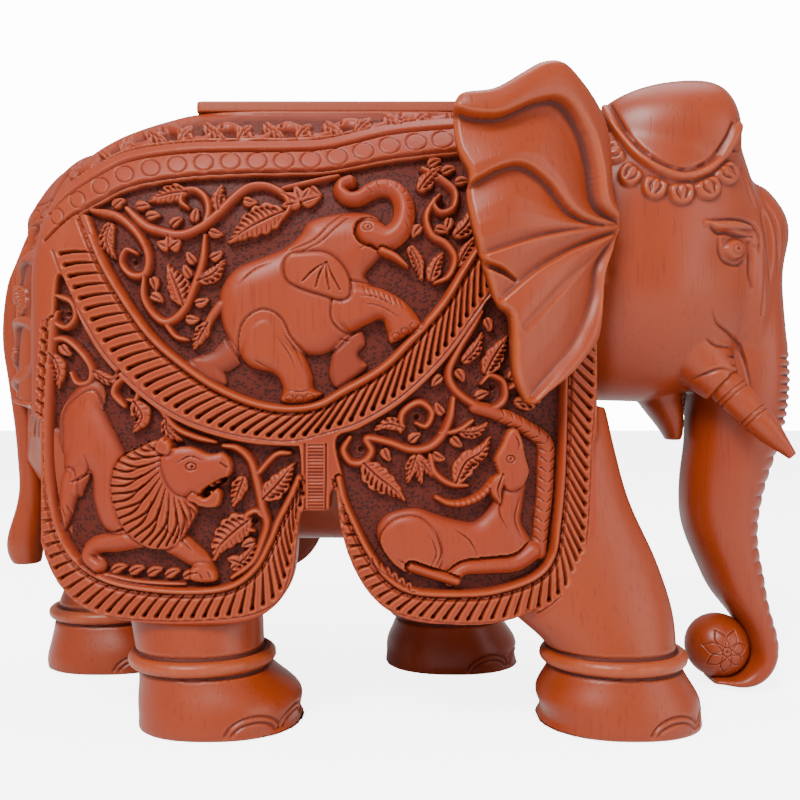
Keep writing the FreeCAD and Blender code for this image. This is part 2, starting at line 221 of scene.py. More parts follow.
class Card:
    # a height map that is carved with hand tools, in millimetres over the surface it lands on

    def __init__(self, left, right, bottom, top, cell=0.125):
        self.left, self.bottom, self.cell = left, bottom, cell
        self.height = np.zeros((int((top - bottom) / cell) + 1, int((right - left) / cell) + 1))
        self.ground = 0.0

    def patch(self, path, reach):
        low, high = path.min(0) - reach, path.max(0) + reach
        rows, cols = self.height.shape
        a = max(0, int((low[1] - self.bottom) / self.cell))
        b = min(rows, int((high[1] - self.bottom) / self.cell) + 2)
        c = max(0, int((low[0] - self.left) / self.cell))
        d = min(cols, int((high[0] - self.left) / self.cell) + 2)
        X, Z = np.meshgrid(self.left + np.arange(c, d) * self.cell,
                           self.bottom + np.arange(a, b) * self.cell)
        return (slice(a, b), slice(c, d)), X, Z

    def trace(self, path, reach):
        # distance to a path, the share of its length and the side, for the cells round it
        where, X, Z = self.patch(path, reach)
        far, along, side = np.full(X.shape, 1e6), np.zeros(X.shape), np.zeros(X.shape)
        if X.size == 0:
            return where, X, Z, far, along, side
        steps = np.hypot(*np.diff(path, axis=0).T)
        total = max(steps.sum(), 1e-9)
        done = 0.0
        for k in range(len(path) - 1):
            a, b = path[k], path[k + 1]
            low, high = np.minimum(a, b) - reach, np.maximum(a, b) + reach
            r0 = max(0, int((low[1] - Z[0, 0]) / self.cell))
            r1 = max(0, int((high[1] - Z[0, 0]) / self.cell) + 2)
            c0 = max(0, int((low[0] - X[0, 0]) / self.cell))
            c1 = max(0, int((high[0] - X[0, 0]) / self.cell) + 2)
            cut = (slice(r0, r1), slice(c0, c1))
            x, z = X[cut] - a[0], Z[cut] - a[1]
            d = b - a
            size = max(float(d @ d), 1e-12)
            t = np.clip((x * d[0] + z * d[1]) / size, 0, 1)
            gap = np.hypot(x - t * d[0], z - t * d[1])
            nearer = gap < far[cut]
            far[cut] = np.where(nearer, gap, far[cut])
            along[cut] = np.where(nearer, (done + t * steps[k]) / total, along[cut])
            side[cut] = np.where(nearer, np.sign(x * d[1] - z * d[0]), side[cut])
            done += steps[k]
        return where, X, Z, far, along, side

    def lower(self, outline, level, wall=0.5):
        # cuts the ground away inside an outline
        path = smooth(outline, closed=True)
        where, X, Z, far, _, _ = self.trace(np.vstack([path, path[:1]]), wall + 0.3)
        depth = np.where(isInside(path, X, Z), ease(np.minimum(far, wall) / wall), 0.0)
        self.height[where] = np.minimum(self.height[where], level * depth)

    def rib(self, points, widths, top, wall=0.45, crown=0.3, over=False):
        # a raised strip. widths are at even shares of its length; crown is how round it is
        path = smooth(points)
        widths = np.atleast_1d(np.array(widths, dtype=float))
        where, X, Z, far, along, _ = self.trace(path, widths.max() / 2 + wall + 0.2)
        half = np.interp(along, np.linspace(0, 1, len(widths)), widths / 2)
        rounding = 1 - crown * np.clip(far / np.maximum(half, 0.05), 0, 1) ** 2
        rise = ease((half + wall - far) / wall) * rounding
        level = self.ground + (top - self.ground) * rise
        if over:
            self.height[where] = np.where(far < half + wall * 0.6, level, self.height[where])
        else:
            self.height[where] = np.maximum(self.height[where], np.where(rise > 0, level, -99))

    def fill(self, outline, top, edge=2.0, low=None, moat=0.0):
        # a raised rounded shape; edge is how far in from the outline it keeps rising
        path = smooth(outline, closed=True)
        where, X, Z, far, _, _ = self.trace(np.vstack([path, path[:1]]), edge + 0.8)
        inside = isInside(path, X, Z)
        if moat:
            near = (~inside) * np.clip(1 - far / 0.9, 0, 1)
            self.height[where] = np.maximum(self.height[where] - moat * near, self.ground)
        base = self.ground if low is None else low
        share = np.clip(np.where(far > 1e5, edge, far) / edge, 0, 1)
        level = base + (top - base) * np.sqrt(1 - (1 - share) ** 2)
        self.height[where] = np.where(inside, np.maximum(self.height[where] if low is None else -99, level),
                                      self.height[where])

    def cut(self, points, width, depth, widths=None, limit=None):
        # a gouge stroke that fades at both ends; widths shapes it along its length
        path = smooth(points, step=0.3)
        shape = np.array(widths if widths is not None else (0.45, 1.0, 1.0, 0.45))
        where, X, Z, far, along, _ = self.trace(path, width / 2 * shape.max() + 0.2)
        scale = np.interp(along, np.linspace(0, 1, len(shape)), shape)
        bite = depth * scale * np.clip(1 - (far / (width / 2 * scale + 1e-6)) ** 2, 0, 1)
        found = self.height[where] - bite
        if limit is not None:
            found = np.maximum(found, np.minimum(limit, self.height[where]))
        self.height[where] = found

    def hole(self, x, z, radius, depth):
        centre = np.array([[x, z], [x + 0.001, z]])
        where, X, Z, far, _, _ = self.trace(centre, radius + 0.3)
        self.height[where] -= depth * ease((radius - far) / (0.6 * radius))

    def knob(self, x, z, radius, top):
        centre = np.array([[x, z], [x + 0.001, z]])
        where, X, Z, far, _, _ = self.trace(centre, radius + 0.3)
        level = self.ground + (top - self.ground) * np.sqrt(np.clip(1 - (far / radius) ** 2, 0, 1))
        self.height[where] = np.maximum(self.height[where], np.where(far < radius, level, -99))

    def ring(self, x, z, wide, high, width=0.45, depth=0.35):
        turn = np.linspace(0, 2 * math.pi, 33)
        self.cut(np.stack([x + wide * np.cos(turn), z + high * np.sin(turn)], 1), width, depth, (1, 1))

    def leaf(self, points, width, top, cuts=4, wall=0.4, hand=1):
        # a pointed leaf along a spine: a midrib cut, a comb of drop-shaped gouges on one side
        # and nicks on the other
        path = smooth(points)
        where, X, Z, far, along, side = self.trace(path, width / 2 + wall + 0.2)
        notch = 1 - 0.16 * np.abs(np.sin(along * math.pi * cuts)) ** 3 * (cuts > 0)
        half = width / 2 * np.sin(math.pi * np.clip(along, 0, 1) ** 0.65 * 0.96 + 0.06) * notch
        half = half * np.where(side * hand > 0, 1.18, 0.9)
        rise = ease((half + wall - far) / wall) * (half > 0.15)
        rounding = 1 - 0.2 * np.clip(far / np.maximum(half, 0.2), 0, 1)
        level = self.ground + (top - self.ground) * rise * rounding
        self.height[where] = np.maximum(self.height[where], np.where(rise > 0, level, -99))
        self.cut(points, 0.6, 0.8, (1, 1, 0.6))
        length = np.hypot(*np.diff(path, axis=0).T).sum()
        count = int(length / 1.25) if cuts > 1 else 0
        for k in range(count):
            share = (k + 0.9) / (count + 0.9)
            root, ahead = pointAt(path, share)
            out = np.array([ahead[1], -ahead[0]]) * hand
            reach = width / 2 * math.sin(math.pi * share ** 0.65)
            comb = [root + out * 0.25, root + out * reach * 0.55 + ahead * 0.35,
                    root + out * reach * 0.86 + ahead * 0.9]
            self.cut(comb, 0.8, 1.0, (0.4, 0.85, 1.1), limit=self.ground)
            nick = [root - out * reach * 0.3 + ahead * 0.2, root - out * reach * 0.8 + ahead * 0.8]
            self.cut(nick, 0.45, 0.45, (0.5, 1), limit=self.ground)

    def facet(self, upper, lower, levels, loop=None):
        # a face between two lines; levels run from the upper line to the lower one
        above, below = smooth(upper), smooth(lower)
        loop = np.vstack([above, below[::-1]]) if loop is None else np.array(loop, dtype=float)
        where, X, Z = self.patch(loop, 0.5)
        near, far = gapTo(above, X, Z), gapTo(below, X, Z)
        share = near / np.maximum(near + far, 1e-6)
        level = np.interp(share, np.linspace(0, 1, len(levels)), levels)
        self.height[where] = np.where(isInside(loop, X, Z), level, self.height[where])

    def roundRim(self, outline, width, depth):
        # takes the sharp corner off along an outline
        loop = smooth(outline, closed=True)
        where, X, Z, far, _, _ = self.trace(np.vstack([loop, loop[:1]]), width + 0.2)
        self.height[where] -= depth * np.clip(1 - far / width, 0, 1) ** 2

    def dent(self, x, z, wide, high, depth):
        # a broad soft hollow, or a swelling when depth is below zero
        where, X, Z = self.patch(np.array([[x, z]]), 3 * max(wide, high))
        self.height[where] -= depth * np.exp(-((X - x) / wide) ** 2 - ((Z - z) / high) ** 2)

    def soften(self, grid, width):
        # the grid averaged over about this many millimetres
        n = max(1, int(width / self.cell / 2))
        for _ in range(2):
            for axis in (0, 1):
                padded = np.pad(grid, [(n + 1, n) if a == axis else (0, 0) for a in (0, 1)], mode="edge")
                total = np.cumsum(padded, axis=axis)
                ahead = np.take(total, range(2 * n + 1, total.shape[axis]), axis=axis)
                behind = np.take(total, range(0, total.shape[axis] - 2 * n - 1), axis=axis)
                grid = (ahead - behind) / (2 * n + 1)
        return grid

    def sample(self, grid, X, Z):
        rows, cols = self.height.shape
        c = np.clip((X - self.left) / self.cell, 0, cols - 1.001)
        r = np.clip((Z - self.bottom) / self.cell, 0, rows - 1.001)
        i, j = r.astype(int), c.astype(int)
        u, v = r - i, c - j
        return ((grid[i, j] * (1 - v) + grid[i, j + 1] * v) * (1 - u)
                + (grid[i + 1, j] * (1 - v) + grid[i + 1, j + 1] * v) * u)


def toCard(points):
    # where the line of sight to each point crosses the card
    share = eye["card"] / (eye["distance"] - np.abs(points[:, 1]))
    return eye["x"] + (points[:, 0] - eye["x"]) * share, eye["z"] + (points[:, 2] - eye["z"]) * share


def throw(X, Z, within, nearest, furthest):
    # points where the lines of sight through the card first come inside a body
    def along(depth):
        share = (eye["distance"] - depth) / eye["card"]
        return eye["x"] + (X - eye["x"]) * share, eye["z"] + (Z - eye["z"]) * share
    found = np.full(X.shape, np.nan)
    before = np.full(X.shape, float(nearest))
    for depth in np.arange(nearest, furthest, -0.6):
        x, z = along(np.full(X.shape, depth))
        hit = np.isnan(found) & within(x, depth, z)
        found[hit] = depth
        before = np.where(np.isnan(found), depth, before)
    inner, outer = np.where(np.isnan(found), furthest, found), before
    for _ in range(10):
        middle = (inner + outer) / 2
        x, z = along(middle)
        hit = within(x, middle, z)
        inner, outer = np.where(hit, middle, inner), np.where(hit, outer, middle)
    x, z = along(inner)
    return np.stack([x, -inner, z], 1)


def offset(path, away):
    # the path moved sideways, to its left when away is above zero
    ahead = np.gradient(path, axis=0)
    ahead /= np.maximum(np.hypot(*ahead.T), 1e-9)[:, None]
    return path + np.stack([-ahead[:, 1], ahead[:, 0]], 1) * away


def feather(card, inner, outer, pitch, lean, width=1.0, depth=1.2, drop=0.68):
    # a border of gouge commas: each stem slants away from the inner roll and ends in a drop
    # by the outer rim
    inner, outer = smooth(inner), smooth(outer)
    length = np.hypot(*np.diff(outer, axis=0).T).sum()
    count = int(length / pitch)
    for k in range(count):
        stem = []
        for across in (0.12, 0.34, 0.56, 0.80):
            share = (k + 0.5 + lean / pitch * (1 - across) ** 1.4) / count
            low, high = pointAt(inner, share)[0], pointAt(outer, share)[0]
            stem.append(low + (high - low) * across)
        card.cut(stem, width, depth, (0.5, 0.8, 0.95, 1.15))
        card.hole(*stem[-1], drop, depth * 0.55)


print("tools ready")

# what is carved in the cloth, drawn on the card
print("drawing the cloth")
clothSizes = {"ground": -2.5, "stripGround": -1.8, "commaPitch": 2.7, "ringPitch": 5.9, "cell": 0.125}
cloth = Card(-90, 52, 18, 142, clothSizes["cell"])
swagInner = [(-68.3, 113.6), (-64.2, 103.5), (-58.4, 93.8), (-52.9, 86.6), (-46.1, 80.8), (-38.9, 76),
             (-30.5, 72.5),
             (-23.2, 71.4), (-16.4, 72.3), (-11.6, 74.9), (-2.6, 80.2), (4, 86.6), (10.9, 94.3),
             (15.3, 101.3),
             (18.6, 106.4), (24, 114)]
swagOuter = [(-75.6, 106.2), (-72.4, 98), (-68.1, 89.9), (-63.1, 82.2), (-55.1, 74.3), (-47.2, 69.2),
             (-38.9, 66.1),
             (-30.5, 64.4), (-22.1, 63.9), (-13.8, 65.9), (-7.2, 68.1), (1.8, 73.6), (10.9, 82.2),
             (18.6, 92.5),
             (22, 97), (29, 106)]
bandLow = [(-77, 108.6), (-71.6, 113.6), (-65, 117.6), (-58, 120.9), (-46.8, 122.9), (-35, 123.7),
           (-22.8, 124),
           (-14, 124.4), (-0.4, 127), (13.7, 128.6), (30, 130)]
bandHigh = [(-76.5, 114.2), (-71.8, 118.6), (-65, 123), (-58, 126.2), (-46.8, 127.9), (-35, 128.3),
            (-22.8, 128.4),
            (-14, 129), (-0.4, 132.1), (12.8, 133.4), (30, 134.5)]
rearOuter = [(-77.8, 91), (-79.3, 74.9), (-79.8, 63.6), (-79.3, 52.4), (-77.4, 41.2), (-73.6, 31),
             (-68.6, 26.6),
             (-61.3, 24.8), (-50, 24), (-38.9, 24.4), (-30.5, 25.7), (-24.8, 28.8), (-22.6, 33.9),
             (-21.3, 41.2),
             (-20.4, 47.3), (-19.7, 52.5)]
rearInner = [(-75.2, 91), (-76.3, 75), (-76.5, 61), (-75.4, 50.9), (-73.2, 42.9), (-69.2, 37.2),
             (-63.1, 33.5),
             (-55.1, 31.7), (-44.6, 31), (-36, 32.1), (-30.5, 36.1), (-27.2, 42), (-25.4, 46.5),
             (-22.6, 52), (-20.8, 56)]
frontOuter = [(-14.2, 52), (-12.8, 48.9), (-11.1, 42.7), (-9.8, 37.2), (-6.7, 31), (-1.6, 26.9),
              (4.6, 24.7),
              (13.2, 23.6), (22.2, 23.8), (31.2, 25.5), (37.8, 30.2), (42, 35.9), (43.3, 44), (44, 55.3),
              (44.6, 66.5), (45.6, 77), (46, 88)]
frontInner = [(-12, 56), (-11, 51.6), (-8.9, 46.7), (-5.3, 39.6), (-0.7, 33.7), (4.6, 31), (13.2, 30.4),
              (22.2, 31),
              (31.2, 34.1), (35.2, 38.8), (36.5, 46.2), (37.4, 55.3), (37.8, 66.5), (38, 77), (38.4, 88)]

cloth.ground = clothSizes["ground"]
cloth.lower(swagInner + [(30, 122), (30, 129.6)] + [(x, z - 0.4) for x, z in bandLow[:0:-1]], cloth.ground)
cloth.lower([(x + 0.6, z + 0.4) for x, z in rearInner[1:]] + [(-20.6, 62.8)]
            + [(x, z - 0.6) for x, z in swagOuter[8:1:-1]] + [(-74.2, 101)], cloth.ground)
cloth.lower([(x - 0.6, z + 0.4) if x > 10 else (x + 0.6, z + 0.4) for x, z in frontInner] + [(34, 104)]
            + [(x, z - 0.6) for x, z in swagOuter[14:9:-1]] + [(-12.8, 64.8)], cloth.ground)

# rolls and rims
for line, width, top in ((swagInner, 1.9, 0.7), (rearInner, 1.6, 0.5), (frontInner, 1.7, 0.5)):
    cloth.rib(line, width, top, wall=0.3, crown=0.55, over=True)
for line, side in ((swagInner, -1), (rearInner, -1), (frontInner, -1)):
    cloth.cut(offset(smooth(line), side * 1.35), 0.7, 0.8, (1, 1))
feather(cloth, swagInner, swagOuter, clothSizes["commaPitch"], 7.5, 0.95, 1.5, 0.78)
feather(cloth, rearInner, rearOuter, clothSizes["commaPitch"], 6.0, 0.9, 1.3)
feather(cloth, frontInner, frontOuter, clothSizes["commaPitch"], 6.0, 0.9, 1.3)
for line, side in ((swagOuter, 0.45), (rearOuter, 0.5), (frontOuter, 0.5)):
    cloth.cut(offset(smooth(line), side), 0.5, 0.35, (1, 1))

# ring band and the roll over it
cloth.cut(bandLow, 1.0, 1.2, (1, 1))
cloth.cut(bandHigh, 0.8, 1.0, (1, 1))
middle = smooth([((a[0] + b[0]) / 2, (a[1] + b[1]) / 2) for a, b in zip(bandLow, bandHigh)])
bandLength = np.hypot(*np.diff(middle, axis=0).T).sum()
for k in range(int(bandLength / clothSizes["ringPitch"])):
    place, _ = pointAt(middle, (k + 0.6) * clothSizes["ringPitch"] / bandLength)
    squeeze = float(np.interp(place[0], [-72, -58, 30], [0.62, 0.82, 1.0]))
    cloth.ring(place[0], place[1], 2.45 * squeeze, 1.75, 0.42, 0.4)
roll = [(x, z + 1.35) for x, z in bandHigh]
cloth.rib(roll, 2.0, 0.9, wall=0.35, crown=0.6, over=True)
cloth.ground = clothSizes["stripGround"]
cloth.lower([(x, z + 2.7) for x, z in bandHigh] + [(30, 142), (-90, 142), (-90, 112)], cloth.ground)
stripTop = smooth([(-74, 124.5), (-66, 130), (-58, 132.8), (-47, 134.6), (-30, 134.8), (-14, 135.2),
                   (2, 137), (16, 138.4)])
stripLow = smooth([(-73, 121.9), (-65, 126.4), (-58, 129.2), (-47, 130.8), (-30, 131.3), (-14, 132),
                   (0, 134.6), (16, 136.2)])
wave = []
for k in range(15):
    low, high = pointAt(stripLow, k / 14)[0], pointAt(stripTop, k / 14)[0]
    wave.append(low * 0.96 + high * 0.04 if k % 2 else low * 0.1 + high * 0.9)
cloth.rib(wave, (1.5,), 0.0, wall=0.3, crown=0.5)
for k in range(14):
    low, high = pointAt(stripLow, (k + 0.5) / 14)[0], pointAt(stripTop, (k + 0.5) / 14)[0]
    ahead = (pointAt(stripLow, (k + 0.6) / 14)[0] - pointAt(stripLow, (k + 0.4) / 14)[0]) * 2.4
    root, tip = (high, low * 0.9 + high * 0.1) if k % 2 else (low, high * 0.9 + low * 0.1)
    cloth.leaf([root - ahead * 0.55, (root + tip) / 2 - ahead * 0.1, tip + ahead * 0.7], 2.5, -0.1, 2,
               wall=0.3)
    cloth.hole(*(root + (tip - root) * 0.25 + ahead * 0.6), 0.6, 0.9)

# girth strap between the flaps
cloth.ground = clothSizes["ground"]
for k in range(20):
    z = 49.3 + k * 0.74
    cloth.cut([(-18.7, z), (-15.5, z)], 0.5, 0.6, (1, 1))
for x in (-19.5, -14.8):
    cloth.cut([(x, 48.6), (x, 63.6)], 0.6, 0.7, (1, 1))

# upper panel: scrollwork
vines = []


def vine(points, widths, top):
    # a ridged stem that thins at both ends
    widths = np.interp(np.linspace(0, 1, 13), np.linspace(0, 1, len(widths)), widths)
    vines.append((smooth(points), max(widths)))
    cloth.rib(points, widths * np.array([0.6] + [1.0] * 10 + [0.85, 0.55]), top, crown=0.7)


def sprout(pitch=3.4, size=3.5):
    # small leaves beside the vines wherever the ground is still bare
    for path, width in vines:
        length = np.hypot(*np.diff(path, axis=0).T).sum()
        for k in range(int(length / pitch)):
            for hand in (-1, 1):
                root, ahead = pointAt(path, (k + 0.5 + 0.25 * hand) * pitch / length)
                out = np.array([ahead[1], -ahead[0]]) * hand
                start = root + out * (width / 2 + 0.3)
                tip = start + out * size * 0.72 + ahead * size * 0.66
                middle = (start + tip) / 2 + out * 0.35
                spots = np.array([middle, tip, tip + out * 0.7, tip + ahead * 0.8, middle + ahead * 0.9,
                                  middle - ahead * 0.9])
                found = cloth.sample(cloth.height, spots[:, 0], spots[:, 1])
                if found.max() < cloth.ground + 0.25:
                    cloth.leaf([start, middle, tip], size * 0.56, -0.5, 0, wall=0.3, hand=hand)
    vines.clear()


vine([(-59, 115.8), (-55.1, 112.1), (-50.9, 110.6), (-46.8, 110.1), (-42.4, 111.9), (-38.4, 115.2),
      (-34.7, 118.9),
      (-31.4, 120.9), (-27.6, 120.9), (-24.3, 119.1), (-22.9, 116.3), (-24.3, 113.9)], (2.6, 2.4, 2.2, 1.8),
     -0.1)
cloth.leaf([(-24.2, 115.2), (-28.2, 113.4), (-32, 111.4), (-36.2, 108.4)], 6.4, -0.2, 5)
vine([(-41.8, 112.2), (-40.9, 115), (-41.4, 118), (-43.6, 120), (-46.3, 119.7), (-47, 117.4), (-45.4, 116)],
     (2.0, 1.8, 1.6), -0.1)
cloth.leaf([(-45.6, 119.6), (-49, 119.2), (-54.4, 117.6)], 3.6, -0.2, 4)
cloth.leaf([(-38.6, 115.4), (-38.9, 118), (-37.8, 121.4)], 2.8, -0.3, 2)
for k in range(5):
    turn = math.radians(200 - k * 46)
    cloth.leaf([(-20.4, 117.2), (-20.4 + 2.2 * math.cos(turn), 117.4 + 1.8 * math.sin(turn)),
                (-20.4 + 4.6 * math.cos(turn), 117.6 + 3.6 * math.sin(turn))], 2.3, -0.2, 0)
vine([(-24.5, 120.4), (-17, 122.2), (-12, 123.2)], (1.4, 1.2), -0.3)
for turn in (150, 95, 40):
    a = math.radians(turn)
    cloth.leaf([(-49.6, 107), (-49.6 + 3.4 * math.cos(a), 106.6 + 3.4 * math.sin(a))], 2.4, -0.3, 0)
vine([(-66.8, 115.4), (-61.3, 114.2), (-57, 110.6), (-54.4, 105.6), (-55, 101.4), (-58, 101),
      (-60.2, 103.6),
      (-59.2, 106.6), (-56.8, 105.8)], (2.4, 2.2, 2.0, 1.5), -0.1)
vine([(-55.2, 100.6), (-55.3, 96), (-52.9, 92), (-50, 90.6), (-46.6, 93), (-44.2, 98), (-42.2, 104),
      (-41.6, 109.8)],
     (1.5, 2.2, 2.2, 2.0), -0.1)
cloth.leaf([(-46.4, 94.4), (-48, 98.6), (-50, 103.2)], 5.0, -0.2, 4)
cloth.leaf([(-43.2, 99.8), (-39.8, 101.4), (-37.2, 104.6)], 3.0, -0.3, 2)
cloth.leaf([(-62.6, 112.8), (-63.6, 108.6), (-61.8, 104.4)], 3.0, -0.3, 2)
vine([(-50.4, 90.2), (-48.2, 87.4), (-45.4, 86.6)], (1.8, 1.2), -0.3)
vine([(6.4, 124.8), (10.6, 122.6), (13.8, 119.6), (13.4, 116), (10.6, 115), (9, 117), (10.4, 119)],
     (1.6, 2.0, 1.5), -0.1)
vine([(9.2, 118), (7.4, 114), (8.6, 110), (11.8, 108), (13.8, 104.8), (12.4, 100.8), (9.2, 99.2)],
     (1.7, 2.0, 2.0, 1.4), -0.1)
cloth.leaf([(5.6, 119.8), (7.6, 122.6), (11, 125.6)], 3.2, -0.2, 3)
cloth.leaf([(8.2, 99.6), (9.4, 103.4), (11.4, 106.2)], 3.0, -0.2, 3)
cloth.leaf([(13.6, 109.6), (16.6, 112.6), (18.2, 117)], 3.4, -0.2, 3)
cloth.leaf([(3.6, 107.6), (5.6, 104), (6.4, 99.4)], 2.6, -0.3, 2)
cloth.leaf([(14.4, 103), (16.2, 106.6), (19, 110.4)], 2.2, -0.3, 2)
for x, z, r in ((-44.6, 117.5, 0.9), (-57.8, 104, 0.8), (11.4, 117.2, 0.8)):
    cloth.hole(x, z, r, 0.9)

# upper panel: the little elephant, from its far legs to its near ones
cloth.rib([(-35, 84.6), (-38.4, 82), (-42, 81), (-44.4, 80.4)], (6.4, 5.6, 4.6, 4.0), -0.9, crown=0.5)
cloth.fill([(-44.8, 82.4), (-41.4, 83), (-37.4, 79.6), (-37, 76.6), (-40.2, 77), (-43.6, 79)], -0.9, 1.6)
cloth.fill([(-7.5, 89.4), (-6, 86), (-7.6, 83.4), (-5.6, 81), (-8, 78.4), (-12.4, 75.8), (-14.4, 78.6),
            (-13.9, 83),
            (-12.4, 87.6)], -0.9, 1.8)
cloth.fill([(-38.4, 97.8), (-35.1, 102.6), (-28.7, 105.4), (-24.1, 107.4), (-21, 110.2), (-18.6, 113.4),
            (-12.8, 115.1),
            (-7.1, 115.4), (-3.8, 114.4), (-1.6, 111.6), (-0.2, 107.6), (-3.4, 104.2), (-6, 100.8),
            (-4, 98),
            (-6, 92), (-9.3, 88.1), (-12.4, 85), (-15.7, 83.2), (-20, 83), (-26, 82), (-31.8, 81),
            (-34.2, 83.2),
            (-37.4, 88.2), (-38.6, 93)], 0.9, 6.5, moat=0.6)
cloth.fill([(-33, 90), (-29, 93), (-25, 91.5), (-22.6, 87), (-19.7, 83.4), (-17.8, 79), (-17.4, 76),
            (-15.6, 74.6),
            (-19.4, 72.6), (-24.8, 72.8), (-24.6, 76), (-26.6, 79), (-31.8, 80.6), (-34, 84)], 1.1, 3.2,
           moat=0.7)
cloth.fill([(-12.4, 98.4), (-9.5, 99.4), (-2.7, 98.2), (2.1, 95.6), (5.2, 92.4), (6.4, 89.6), (3.4, 87.6),
            (-0.6, 85.8),
            (-1.6, 88.6), (-2.7, 91), (-6, 89.8), (-10, 88.3), (-13.4, 91.4)], 1.2, 2.8, moat=0.7)
cloth.rib([(-5.4, 110.6), (-1.6, 109.2), (1.4, 111.2), (2.5, 114.7), (2, 117.8), (0.2, 120), (-2.5, 120.6),
           (-5.1, 119.8),
           (-7.6, 118.3), (-9.9, 118.2), (-11.6, 119.7), (-11.3, 121.2), (-9.6, 121.9)],
          (6.2, 5.4, 4.8, 4.2, 3.8, 3.4, 3.0, 2.8), 0.9, wall=0.4, crown=0.55, over=True)
for x, z in ((3.3, 111.6), (4.1, 113.4), (4.3, 115.4), (3.9, 117.4), (2.8, 119.4), (1.0, 120.9),
             (-1.4, 121.6), (-3.9, 121.1), (-6, 120)):
    cloth.cut([(x, z), (x + (0.4 - x) * 0.22, z + (115.5 - z) * 0.22)], 0.4, 0.35, (1, 1))
cloth.fill([(-23.9, 102.6), (-22.8, 105.2), (-20.4, 105.6), (-16.4, 105.8), (-13.6, 105), (-11, 102.6),
            (-9.6, 99.6),
            (-9.6, 96.4), (-11.5, 95.4), (-15.7, 96.5), (-20.4, 98), (-23.2, 99.7)], 1.7, 1.2, low=0.6,
           moat=0.5)
for tip in ((-19.8, 99.4), (-17, 98), (-14, 97.4), (-11.6, 97.4)):
    cloth.cut([(-14.6, 103.6), ((-14.6 + tip[0]) / 2 - 0.3, (103.6 + tip[1]) / 2 + 0.2), tip], 0.6, 0.8,
              (0.5, 1, 0.8))
cloth.cut([(-11.2, 114.6), (-14, 112), (-17.3, 108.6), (-22.8, 106.4)], 0.45, 0.5, (0.8, 1, 0.8))
cloth.cut([(-10, 113.6), (-13, 110.8), (-16, 108), (-20, 106)], 0.45, 0.45, (0.8, 1, 0.8))
cloth.ring(-5.7, 111.4, 1.05, 0.8, 0.4, 0.6)
cloth.hole(-5.5, 111.3, 0.45, 0.6)
cloth.cut([(-8, 112.4), (-6, 113.3), (-3.8, 112.8)], 0.45, 0.45)
cloth.cut([(-2.6, 105.4), (-5, 107.6), (-7.4, 106.6)], 0.6, 0.7)
cloth.rib([(-2.4, 106.3), (0.4, 105), (3, 102.9)], (2.0, 1.8, 0.8), 0.8, wall=0.3, crown=0.5, over=True)
cloth.rib([(-38.2, 94.4), (-40.2, 91.8), (-41.4, 89.2)], (1.8, 1.4), -0.4)
cloth.leaf([(-41, 90.4), (-42.6, 87.6), (-44.4, 84.4)], 3.0, -0.3, 3)
for line in (((-24.5, 88.6), (-21.6, 84.4), (-19.8, 80.8)), ((-25.6, 87.4), (-22.8, 83.4), (-21.2, 79.8)),
             ((-30.6, 82.2), (-27.4, 80.2)), ((-23.8, 75.6), (-20, 75.2), (-17.8, 76.2)),
             ((-8, 96.4), (-3.4, 95.8), (1.2, 93.2)), ((-6.6, 94.6), (-2.6, 93.8), (1.4, 91.4)),
             ((-12, 86.8), (-9.4, 86.4)), ((-34.4, 98.4), (-30.6, 102), (-27, 103.6))):
    cloth.cut(line, 0.45, 0.4)
for k in range(8):
    x = -6.6 + k * 1.15
    cloth.cut([(x, 98.2 - k * 0.42), (x + 0.7, 96.4 - k * 0.42)], 0.45, 0.5, (1, 0.7))
for x, z in ((-22.8, 73.8), (-20.6, 73.6), (-18.4, 74), (0.6, 87.4), (2.6, 88.4), (4.6, 89.6)):
    cloth.ring(x, z, 0.9, 0.7, 0.35, 0.4)
sprout()
print("upper panel drawn")

# rear flap: the lion
cloth.rib([(-67.6, 74.5), (-69.2, 70), (-69.8, 64), (-70, 58.4), (-71, 53.4)], (6.6, 9.6, 9.2, 5.6, 3.6),
          -0.2, crown=0.5)
cloth.fill([(-72.6, 71), (-66.8, 75.4), (-64.4, 71.2), (-62.2, 66.9), (-60, 62.6), (-57, 56), (-56, 48),
            (-58, 42.6),
            (-61.7, 43), (-65, 45.4), (-67, 51), (-67.6, 57), (-71.4, 55.6), (-73.6, 58), (-73, 64)], 0.5,
           5.5, moat=0.6)
cloth.fill([(-73.6, 57), (-71, 58), (-70.2, 53), (-71.6, 47.4), (-73, 44.6), (-73.8, 47), (-74.4, 51)],
           -0.1, 1.8, moat=0.5)
cloth.rib([(-56.5, 43.4), (-61, 42), (-66, 41.2), (-67.6, 38.6), (-65.6, 36.6)], (5.4, 4.4, 3.8, 3.4, 3.4),
          0.4, crown=0.5, over=True)
cloth.rib([(-56.5, 49), (-52, 44.4), (-47, 41), (-43, 38), (-41.4, 35.8)], (8.0, 7.0, 5.6, 4.6, 4.0), 0.7,
          crown=0.5, over=True)
cloth.fill([(-44.6, 36.6), (-41.6, 37.6), (-39, 35.8), (-38.8, 33.4), (-42, 32.8), (-45, 33.6)], 0.8, 1.4,
           moat=0.4)
cloth.fill([(-51.4, 64.4), (-56.4, 62.6), (-60.2, 60.2), (-62, 55.6), (-61.4, 49.6), (-58.6, 44),
            (-53.6, 40.6),
            (-48.4, 41), (-45, 45.4), (-42.8, 50.6), (-44.4, 53.4), (-46.4, 60.4)], 1.1, 2.6, low=0.0,
           moat=0.6)
cloth.fill([(-50.6, 61.6), (-45, 63), (-40.6, 61.4), (-37.4, 61.6), (-35.6, 59.4), (-36, 56.8),
            (-38.4, 55.8),
            (-41.6, 53.8), (-43, 52.2), (-47.4, 52.6), (-50.2, 56.4)], 1.8, 2.4, low=0.6, moat=0.4)
cloth.fill([(-44, 53.4), (-41.4, 51.8), (-38.8, 53.8), (-37.8, 52.4), (-38.8, 49.8), (-42.4, 49.8),
            (-45.4, 51.4)],
           1.2, 1.0, low=0.2, moat=0.4)
